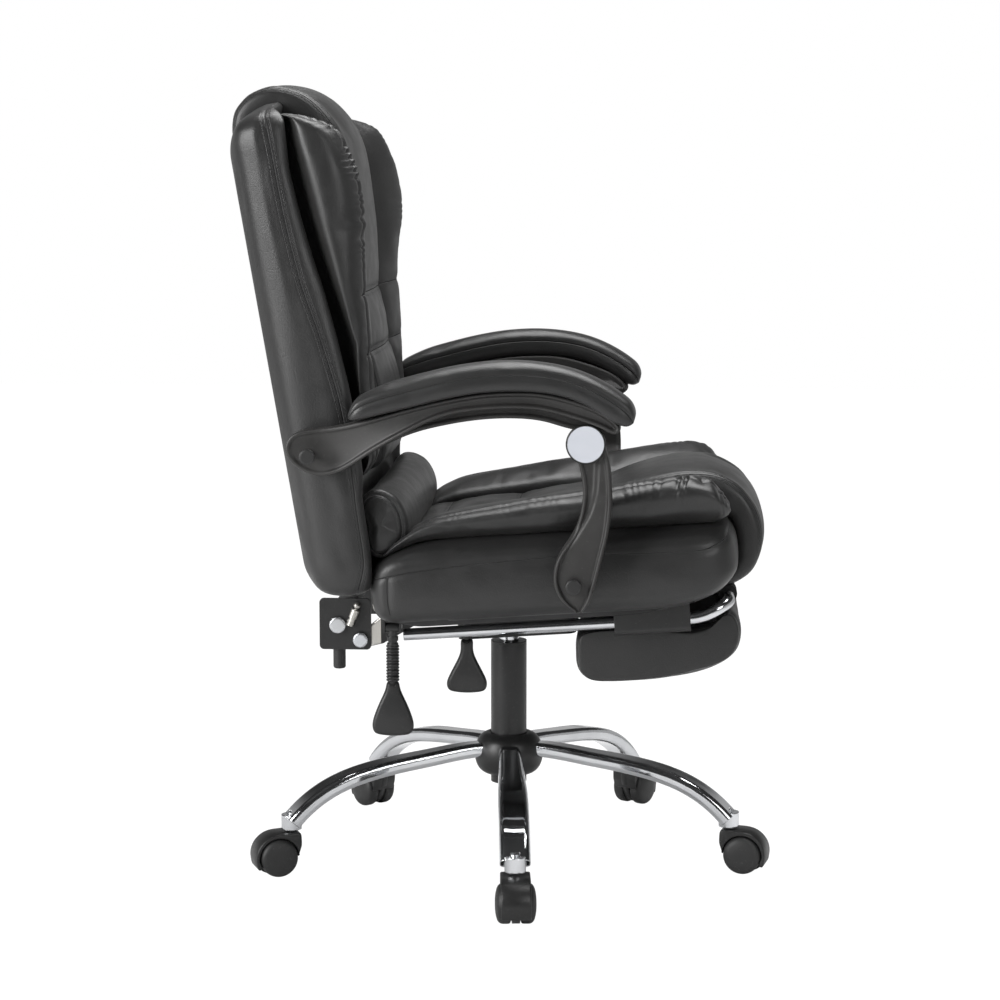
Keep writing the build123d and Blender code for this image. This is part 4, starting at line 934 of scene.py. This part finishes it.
def makeBackLobe(name, side, node, seed, fuller, folds):
    look, early = backLobe, backLobe["flareShare"]
    z, full = stations(look["from"], look["to"], look["rows"], 34.0)
    section = bolsterSection(backBolster, look["columns"], 100, 95)
    p, q, w = section[0]
    base = shellFloor(z)
    depth = (lineThrough(look["crest"], z) + fuller * ease((z - 380) / 100) - base) * np.maximum(full, 0.02)
    swell, outer = lineThrough(look["swell"], z) * full, lineThrough(look["outer"], z)
    wide = np.clip((lineThrough(look["flare"], z) - base) / np.maximum(depth, 1.0), 0.3, 0.72)[:, None]
    reach = np.where(q < early, q * wide / early, wide + (q - early) * (1 - wide) / (1 - early))
    across = 0.5 + (p - 0.5) * (0.82 + 0.18 * full)[:, None]
    y = look["inner"] + across * (outer - look["inner"])[:, None] + swell[:, None] * w
    rings = ringsOf(base[:, None] + reach * depth[:, None], side * y, z[:, None])
    face = (ease((q - 0.5) / 0.2) * (p < 0.9))[None, :]
    share = lineThrough(look["gathers"], z) * full**2
    finishLobe(name, node, "back", look, rings, section, z, share, face, folds, seed)


# lumbar roll: a D-shaped outline carried along Y, rounded, domed and seamed at both ends
lumbarRoll = {
    "outline": [(77, 66), (77.5, 92), (84, 110), (100, 119), (120, 112), (134, 92), (138, 66), (130, 42),
                (111, 28), (92, 26), (80, 38)],
    "half": 218.0, "rows": 84, "columns": 96, "round": 15.0, "seam": 7, "dome": 5.0,
    "stuff": (4.0, 0.01, 0.004), "sew": (0.0016, 0.003), "fill": 0.7,
}


def makeLumbarRoll():
    look, soft = lumbarRoll, lumbarRoll["round"]
    loop = curveThrough(look["outline"], look["columns"], True)[0]
    middle = loop.mean(axis=0)
    away = loop - middle
    size = np.linalg.norm(away, axis=1)
    turn = np.linspace(0, np.pi / 2, 12)
    inside = np.linspace(1, 0, 7)[1:]
    straight = look["half"] - soft
    body = np.linspace(-straight, straight, look["rows"] - 36)[1:-1]
    bothEnds = lambda first, second, between: np.concatenate([second[::-1], first[::-1], between, first, second])
    tip, cap = straight + soft * np.sin(turn), look["half"] + look["dome"] * (1 - inside**2)
    y = np.concatenate([-cap[::-1], -tip[::-1], body, tip, cap])[:, None]
    drawn = bothEnds(soft * (1 - np.cos(turn)), np.full(6, soft), 0 * body)
    flat = bothEnds(np.ones(12), inside, np.ones(len(body)))
    share = flat[:, None] * (1 - drawn[:, None] / size)
    rings = ringsOf(middle[0] + away[:, 0] * share, y, middle[1] + away[:, 1] * share)
    bend = soft * np.abs(turn - turn[look["seam"]])
    gap = bothEnds(bend, np.full(6, noSeam), bend[0] + straight - np.abs(body))[:, None] + 0 * share
    hold = most(bump(gap, 5.0), (loop[:, 0] < 80)[None, :])
    makeSoft("lumbarRoll", "lumbar_roll", "back", stitched, rings, gap, roundFrom(rings, 0), hold, look)


# arm pad: rounded sections square to the line of its underside, one seam along each side
armPad = {
    "under": [(-184, 640), (-165, 647), (-117, 659), (-65, 672), (-13, 681), (28, 683), (64, 681), (102, 672),
              (141, 652), (168, 632)],
    "depth": [(-184, 16), (-165, 27), (-117, 33), (28, 34), (102, 33), (150, 32), (168, 30)],
    "inner": 253.5, "outer": 315.5, "rows": 84, "columns": 60, "nose": 24.0, "tall": 34, "seams": (5, 11),
    "stuff": (4.0, 0.005, 0.003), "sew": (0.0012, 0.003), "fill": 0.8,
    "loop": [(0, 0.0), (0.62, 0.0), (0.90, 0.03), (0.99, 0.20), (1.0, 0.42), (0.985, 0.64), (0.90, 0.86),
             (0.62, 1.0), (0, 1.05)],
}


def makeArmPad(name, side, node):
    look = armPad
    line = curveThrough(look["under"], 400, False)[0]
    steps = lengthAlong(line)
    at, full = stations(0.0, steps[-1], look["rows"], look["nose"])
    foot = np.stack([np.interp(at, steps, line[:, k]) for k in (0, 1)], axis=1)
    ahead = np.gradient(foot, axis=0)
    ahead /= np.linalg.norm(ahead, axis=1, keepdims=True)
    middle, wide = (look["inner"] + look["outer"]) / 2, (look["outer"] - look["inner"]) / 2
    section, marks = curveThrough(np.array(mirrored(look["loop"])) * (wide, look["tall"]), look["columns"], True)
    p, q = section[:, 0], section[:, 1] / look["tall"]
    depth, keep = lineThrough(look["depth"], foot[:, 0]), np.maximum(full, 0.03)
    rise = (0.42 * depth * (1 - keep))[:, None] + q * (depth * keep)[:, None]
    y = side * (middle + p * (0.62 + 0.38 * full)[:, None])
    rings = ringsOf(foot[:, :1] - ahead[:, 1:] * rise, y, foot[:, 1:] + ahead[:, :1] * rise)
    columns = [int(round(marks[k] * look["columns"])) for k in look["seams"]]
    gap, run = nearest(*[(roundFrom(rings, k), alongAt(rings, k)) for k in columns])
    hold = most((q < 0.03)[None, :], bump(gap, 4.0))
    makeSoft(name, node, "arms", leather, *closeEnds(rings, gap, run, hold), look)


# footrest pad: one outline in X and Z drawn in at both sides, hung under the seat
footrestPad = {
    "outline": [(104, -44), (97, -52), (95, -70), (96, -94), (106, -107), (128, -112), (180, -113), (236, -109),
                (284, -98), (308, -82), (316, -60), (315, -42), (309, -30), (300, -26), (292, -32), (278, -43),
                (200, -43.5)],
    "half": 170.0, "rows": 62, "columns": 96, "centre": (250.0, -70.0), "round": 22, "drawn": 7, "seam": 9,
    "stuff": (4.0, 0.008, 0.003), "sew": (0.0012, 0.004), "fill": 0.6,
}


def makeFootrestPad():
    look, half, ends = footrestPad, footrestPad["half"], 6
    loop = curveThrough(look["outline"], look["columns"], True)[0]
    between = half * np.sin(np.linspace(-np.pi / 2, np.pi / 2, look["rows"] - 10))[1:-1]
    y = np.concatenate([np.full(ends, -half), between, np.full(ends, half)])
    edge = np.clip((half - np.abs(y)) / look["round"], 0, 1)
    drawn = look["drawn"] * (1 - np.sqrt(1 - (1 - edge) ** 2))
    shrink = drawnIn(len(y), ends)[:, None]
    out = loop - look["centre"]
    share = shrink * (1 - drawn[:, None] / np.linalg.norm(out, axis=1))
    rings = ringsOf(look["centre"][0] + out[:, 0] * share, y[:, None], look["centre"][1] + out[:, 1] * share)
    row = np.abs(half - look["seam"] - y).argmin()
    gap = np.where(shrink > 0.99, np.abs(y[row] - np.abs(y))[:, None] + 0 * share, noSeam)
    hold = most(bump(gap, 5.0), (loop[:, 1] > -46)[None, :], shrink < 0.99)
    makeSoft("footrestPad", "footrest_pad", "footrest_flap", leather, rings, gap, roundFrom(rings, 0), hold, look)


# moulded plate: an outline in X and Z drawn in along its normals by steps of (inset, share of the depth);
# inner and outer are numbers or functions of X
def plateRings(outline, steps, inner, outer, side, columns=260):
    flat = curveThrough(outline, columns, True)[0]
    ahead = np.roll(flat, -1, axis=0) - np.roll(flat, 1, axis=0)
    normal = np.stack([ahead[:, 1], -ahead[:, 0]], axis=1) / np.linalg.norm(ahead, axis=1, keepdims=True)
    inset, out = np.array(steps, float).T[..., None]
    x, z = (flat[:, k] - inset * normal[:, k] for k in (0, 1))
    near, far = (face(x) if callable(face) else face for face in (inner, outer))
    return ringsOf(x, side * (near + out * (far - near)), z)


# raised round rim, then a step down to a sunk panel
rimSteps = [(7, 0.0), (2.5, 0.0), (0.8, 0.03), (0, 0.12), (0, 0.5), (0, 0.84), (0.5, 0.93), (1.6, 0.985),
            (3.0, 1.0), (4.4, 0.985), (5.5, 0.94), (6.2, 0.88), (7.0, 0.85), (8.2, 0.84)]
pillowSteps = [(5.4, 0.0), (3.2, 0.04), (1.6, 0.12), (0.5, 0.24), (0, 0.4), (0, 0.6), (0.5, 0.76), (1.6, 0.88),
               (3.2, 0.96), (5.4, 1.0)]

# arm frame: web and lip share their top and rear lines
armRear = [(120, 664), (64, 680), (28, 682), (-13, 680), (-65, 671), (-117, 658), (-170, 642), (-213, 632),
           (-250, 627), (-265, 619), (-271, 607), (-268, 593), (-252, 577), (-227, 569), (-196, 577)]
armFrame = {
    "web": [(158, 633), (150, 647)] + armRear + [(-157, 600), (-115, 621), (-74, 633), (-21, 642), (27, 644),
                                                 (63, 640), (96, 631), (130, 627), (150, 627)],
    "lip": [(160, 634), (152, 647), (120, 665)] + armRear[1:] + [(-160, 600), (-115, 626), (-65, 649),
                                                                 (-13, 658), (28, 660), (64, 657), (102, 647),
                                                                 (138, 634), (153, 628)],
    "inner": 250.6, "web depth": 14.0, "lip depth": 50.0, "rear depth": 24.0,
}


def makeArmFrame(name, side, node):
    look = armFrame
    inner, web = look["inner"], look["inner"] + look["web depth"]
    rear, more = look["inner"] + look["rear depth"], look["lip depth"] - look["rear depth"]
    outer = lambda x: rear + more * ease((x + 235) / 130)
    for word, near, far in (("Web", inner, web), ("Lip", web - 2, outer)):
        rings = plateRings(look[word.lower()], rimSteps, near, far, side)
        makeHard(name + word, node, "arms", mouldedGrey, rings)


# arm post: cross lines between its rear and front edges, each with a rim at both edges;
# its rear half is set back behind a ridge
armPost = {
    "rear": [(104, 633), (96, 622), (96, 609), (103, 595), (110, 573), (112, 551), (109, 525), (100, 499),
             (86, 477), (78, 461), (75, 445), (77, 427), (88, 409), (104, 397)],
    "front": [(128, 633), (137, 622), (141, 609), (145, 595), (148, 575), (149.5, 551), (148.5, 525),
              (145, 499), (140, 477), (136, 461), (132, 445), (127, 427), (121, 409), (112, 397)],
    "inner": 250.6, "neck": 264.8, "outer": 289.5, "set back": 9.0, "bulge": 2.0, "rows": 120,
    "ridge": [(446, 83), (470, 88), (497, 105), (528, 122), (558, 129), (610, 131)],
}


def makeArmPost(name, side, node):
    look = armPost
    rear, front = (curveThrough(look[key], look["rows"], False)[0] for key in ("rear", "front"))
    width = np.linalg.norm(front - rear, axis=1)[:, None]
    inset, rim = np.array(rimSteps[3:], float).T
    edge = inset / width * np.minimum(1, 0.46 * width / inset[-1])
    inside = np.linspace(0, 1, 14)[1:-1]
    panel = edge[:, -1:] + (1 - 2 * edge[:, -1:]) * inside
    back = np.linspace(1, 0, 6) + 0 * width
    share = np.concatenate([edge, panel, 1 - edge[:, ::-1], back], axis=1)
    out = np.concatenate([rim, np.full(len(inside), rim[-1]), rim[::-1], np.zeros(6)])
    x, z = (rear[:, k, None] + share * (front - rear)[:, k, None] for k in (0, 1))
    inner = look["inner"] + (look["neck"] - look["inner"]) * ease((z - 535) / 18)
    step = ease((lineThrough(look["ridge"], z) + 4 - x) / 9) * ease((z - 462) / 40)
    outer = look["outer"] - look["set back"] * step
    puff = look["bulge"] * (out == rim[-1]) * np.clip(1 - (2 * share - 1) ** 2, 0, 1) * ease((520 - z) / 60)
    rings = ringsOf(x, side * (inner + out * (outer - inner) + puff), z)
    makeHard(name, node, "posts", mouldedGrey, rings)


# paddle: a puffed plate, narrow at its neck and square below, hung where the solid hangs
paddles = {
    "recline": [(0, 0), (7, -1), (9.5, -9), (17, -27), (25, -47), (27.5, -60), (24.5, -69), (15, -72.5),
                (0, -73.5)],
    "lift": [(0, 13), (7.0, 12), (8.2, 2), (10, -9), (17, -24), (24.5, -39), (27, -48), (24.5, -56),
             (15, -59.5), (0, -60.5)],
    "thick": 15.0,
}


def boxOf(node):  # middle and top of a solid, in mm
    low, high = np.array(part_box(node)) / mm
    return (low + high) / 2, high[2]


def makePaddle(name, half, node, body):
    middle, top = boxOf(node)
    outline = [(-x, z) for x, z in half[:-1]] + half[:0:-1]
    outline = [(middle[0] + x, top + z) for x, z in outline]
    near, far = middle[1] - paddles["thick"] / 2, middle[1] + paddles["thick"] / 2
    rings = plateRings(outline, pillowSteps, near, far, 1, 120)
    makeHard(name, node, body, blackPlastic, rings)


# profile of (radius, height) spun round: two coordinates square to the axis and one along it
def spun(profile, count, columns):
    line = curveThrough(profile, count, False)[0]
    turn = np.linspace(0, 2 * np.pi, columns, endpoint=False)
    return line[:, :1] * np.cos(turn), line[:, :1] * np.sin(turn), line[:, 1:]


# ribbed boot over the long lever's stalk, from its paddle up
boot = {"ribs": 12, "pitch": 4.1, "waist": 6.2, "crown": 8.4}


def makeBoot():
    middle, top = boxOf("recline_paddle")
    waist, crown, pitch = boot["waist"], boot["crown"], boot["pitch"]
    profile = [(waist, top - 2)]
    for rib in range(boot["ribs"]):
        foot = top + rib * pitch
        profile += [(waist, foot), (crown, foot + 0.26 * pitch), (crown, foot + 0.74 * pitch)]
    x, y, z = spun(profile + [(waist, top + boot["ribs"] * pitch)], 220, 40)
    rings = ringsOf(middle[0] + x, middle[1] + y, z)
    makeHard("ribbedBoot", "recline_paddle", "recline_lever_arm", blackPlastic, rings)


hub = {"profile": [(25.4, 172), (27, 173.6), (31, 173.4), (38, 170), (44, 162.5), (47.4, 151), (47.6, 139),
                   (44.5, 127.5), (38, 119.5), (31, 116.4), (26, 116)]}


def makeHub():
    makeHard("hub", "base_hub", "base", blackPlastic, ringsOf(*spun(hub["profile"], 96, 96)))


# caster: a crescent hood with a stem block, a web between the wheels, two domed wheels spun about the axle
caster = {
    "ring": 316.0, "trail": 22.0, "axle": 26.0, "hood": 19.5, "web": 5.4,
    "crescent": [(-8.5, 58), (-9.6, 50), (-9.4, 41), (-7.2, 34), (-4.6, 27), (-3.4, 35), (1.0, 43.2), (8, 49.2),
                 (17, 52.5), (27, 52.6), (36.5, 48.8), (44.2, 41.5), (48.2, 32.5), (48.9, 23), (46.2, 14),
                 (50.4, 11.5), (53.6, 20), (54.3, 29), (51.6, 40), (44.8, 49.4), (35, 56), (23, 58.8),
                 (12, 59.2), (2, 59.9), (-6, 59.9)],
    "middle": [(-8.5, 58), (-9.6, 50), (-9.4, 41), (-4, 26), (6, 9), (20, 2.6), (36, 3.4), (46, 9), (52.6, 18),
               (54.1, 29), (51.4, 40), (44.6, 49.2), (35, 55.8), (23, 58.6), (12, 59), (2, 59.7), (-6, 59.7)],
    "steps": [(1.8, 0.0), (0.7, 0.012), (0, 0.05), (0, 0.5), (0, 0.95), (0.7, 0.988), (1.8, 1.0)],
    "wheel": [(1.0, 6.3), (12, 6.3), (21, 6.4), (24.6, 7.0), (25.8, 9), (26, 12.5), (26, 16.5), (25.2, 20),
              (22.6, 23), (17, 25.2), (9, 26.5), (1.0, 26.8)],
}


def makeCaster(number):
    sides = [(f"caster_wheel_{number}_{word}", side, word) for word, side in (("left", 1), ("right", -1))]
    centre = np.mean([np.mean(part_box(node), axis=0) for node, side, word in sides], axis=0)
    place = {**onFloor, "x": caster["ring"], "turn": math.degrees(math.atan2(centre[1], centre[0]))}
    for word, outline, half in (("Hood", "crescent", caster["hood"]), ("Web", "middle", caster["web"])):
        rings = plateRings(caster[outline], caster["steps"], -half, half, 1, 150)
        name, node = f"caster{word}{number}", f"caster_hood_{number}"
        makeHard(name, node, f"caster_{number}", blackPlastic, rings, place)
    x, z, y = spun(caster["wheel"], 60, 72)
    for node, side, word in sides:
        rings = ringsOf(caster["trail"] + x, side * y, caster["axle"] + z)
        name = f"wheel{number}{word.title()}"
        makeHard(name, node, f"wheel_{number}_{word}", wheelPlastic, rings, place)


makeArmFrame("armFrameRight", -1, "arm_frame_right")
makeArmFrame("armFrameLeft", 1, "arm_frame_left")
makeArmPost("armPostRight", -1, "arm_post_right")
makeArmPost("armPostLeft", 1, "arm_post_left")
makePaddle("reclinePaddle", paddles["recline"], "recline_paddle", "recline_lever_arm")
makePaddle("liftPaddle", paddles["lift"], "lift_paddle", "lift_lever_arm")
makeBoot()
makeHub()
for number in casters:
    makeCaster(number)
print("moulded pieces ready")

makeSeatBase()
makeStrap("seatStrap", "seat_center_strap", "seat", seatStrap)
makeSeatLobe("seatLobeRight", -1, "seat_side_pad_right", 3, 0.0072)
makeSeatLobe("seatLobeLeft", 1, "seat_side_pad_left", 8, 0.0012)
makeBackShell()
makeStrap("backStrap", "back_center_strap", "back", backStrap)
makeBackLobe("backLobeRight", -1, "back_side_pad_right", 5, -2.0, 0.0064)
makeBackLobe("backLobeLeft", 1, "back_side_pad_left", 11, 6.0, 0.0010)
makeLumbarRoll()
makeArmPad("armPadRight", -1, "arm_pad_right")
makeArmPad("armPadLeft", 1, "arm_pad_left")
makeFootrestPad()
print("soft pieces ready")

# floor, world and lamps: white to the camera, plain soft light on the chair
studio = {"floor": 7.0, "glow": 0.9, "ambient": 0.20, "shine": 0.25, "flag": 3.2, "dim": 0.04}
lamps = {
    "topSoftbox": {"place": (0.3, 0.45, 2.7), "aim": (0.0, 0.0, 0.5), "size": (2.2, 1.5), "power": 66.0},
    "leftSoftbox": {"place": (-2.7, -2.1, 1.6), "aim": (-0.1, 0.0, 0.7), "size": (2.0, 2.2), "power": 120.0},
    "frontSoftbox": {"place": (1.8, -2.6, 1.6), "aim": (0.0, 0.0, 0.5), "size": (1.4, 1.4), "power": 21.0},
}


def makeSquare(name, half, height, material):
    mesh = bpy.data.meshes.new(name)
    corners = [(-half, -half, height), (half, -half, height), (half, half, height), (-half, half, height)]
    mesh.from_pydata(corners, [], [(0, 1, 2, 3)])
    mesh.materials.append(material)
    square = bpy.data.objects.new(name, mesh)
    scene.collection.objects.link(square)


def makeFloor():
    material = bpy.data.materials.new("paleFloor")
    material.use_nodes = True
    tree = material.node_tree
    tree.nodes.clear()
    matt = put(tree, "BsdfDiffuse", {"Color": grey(0.86)})[0]
    glow = put(tree, "Emission", {"Color": grey(1.0), "Strength": 1.11})[0]
    seen = times(tree, put(tree, "LightPath", {})["Is Camera Ray"], studio["glow"])
    put(tree, "OutputMaterial", {"Surface": put(tree, "MixShader", {0: seen, 1: matt, 2: glow})[0]})
    makeSquare("floor", studio["floor"], 0.0, material)


# reflections of the room are dimmer behind the camera and overhead
def makeWorld():
    scene.world = bpy.data.worlds.new("studio")
    scene.world.use_nodes = True
    tree = scene.world.node_tree
    tree.nodes.clear()
    path = put(tree, "LightPath", {})
    seen = calc(tree, "MAXIMUM", path["Is Camera Ray"], path["Is Transmission Ray"])
    arrow = put(tree, "SeparateXYZ", {0: put(tree, "NewGeometry", {})["Incoming"]})
    dim = calc(tree, "MAXIMUM", fade(tree, arrow["Y"], 0.35, 0.75), fade(tree, arrow["Z"], -0.18, -0.36))
    shine = fade(tree, dim, 0.0, 1.0, studio["shine"], studio["dim"] - studio["ambient"])
    level = calc(tree, "ADD", times(tree, path["Is Glossy Ray"], shine), studio["ambient"])
    soft = put(tree, "Background", {"Color": grey(1.0), "Strength": level})[0]
    white = put(tree, "Background", {"Color": grey(1.0), "Strength": 1.0})[0]
    put(tree, "OutputWorld", {"Surface": put(tree, "MixShader", {0: seen, 1: soft, 2: white})[0]})


def makeLamp(name, look):
    data = bpy.data.lights.new(name, "AREA")
    data.shape = "RECTANGLE"
    data.size, data.size_y = look["size"]
    data.energy = look["power"]
    lamp = bpy.data.objects.new(name, data)
    lamp.location = look["place"]
    x, y, z = np.array(look["aim"]) - look["place"]
    lamp.rotation_euler = (math.atan2(np.hypot(x, y), -z), 0, math.atan2(-x, y))
    scene.collection.objects.link(lamp)


makeFloor()
makeWorld()
# dark card over the lamps, so that bright metal has something dark to show
darkCard = newMaterial("darkCard", {"Base Color": grey(0.03), "Roughness": 0.9})[0]
makeSquare("flag", studio["flag"], studio["flag"], darkCard)
for name, look in lamps.items():
    makeLamp(name, look)
print("stage ready")
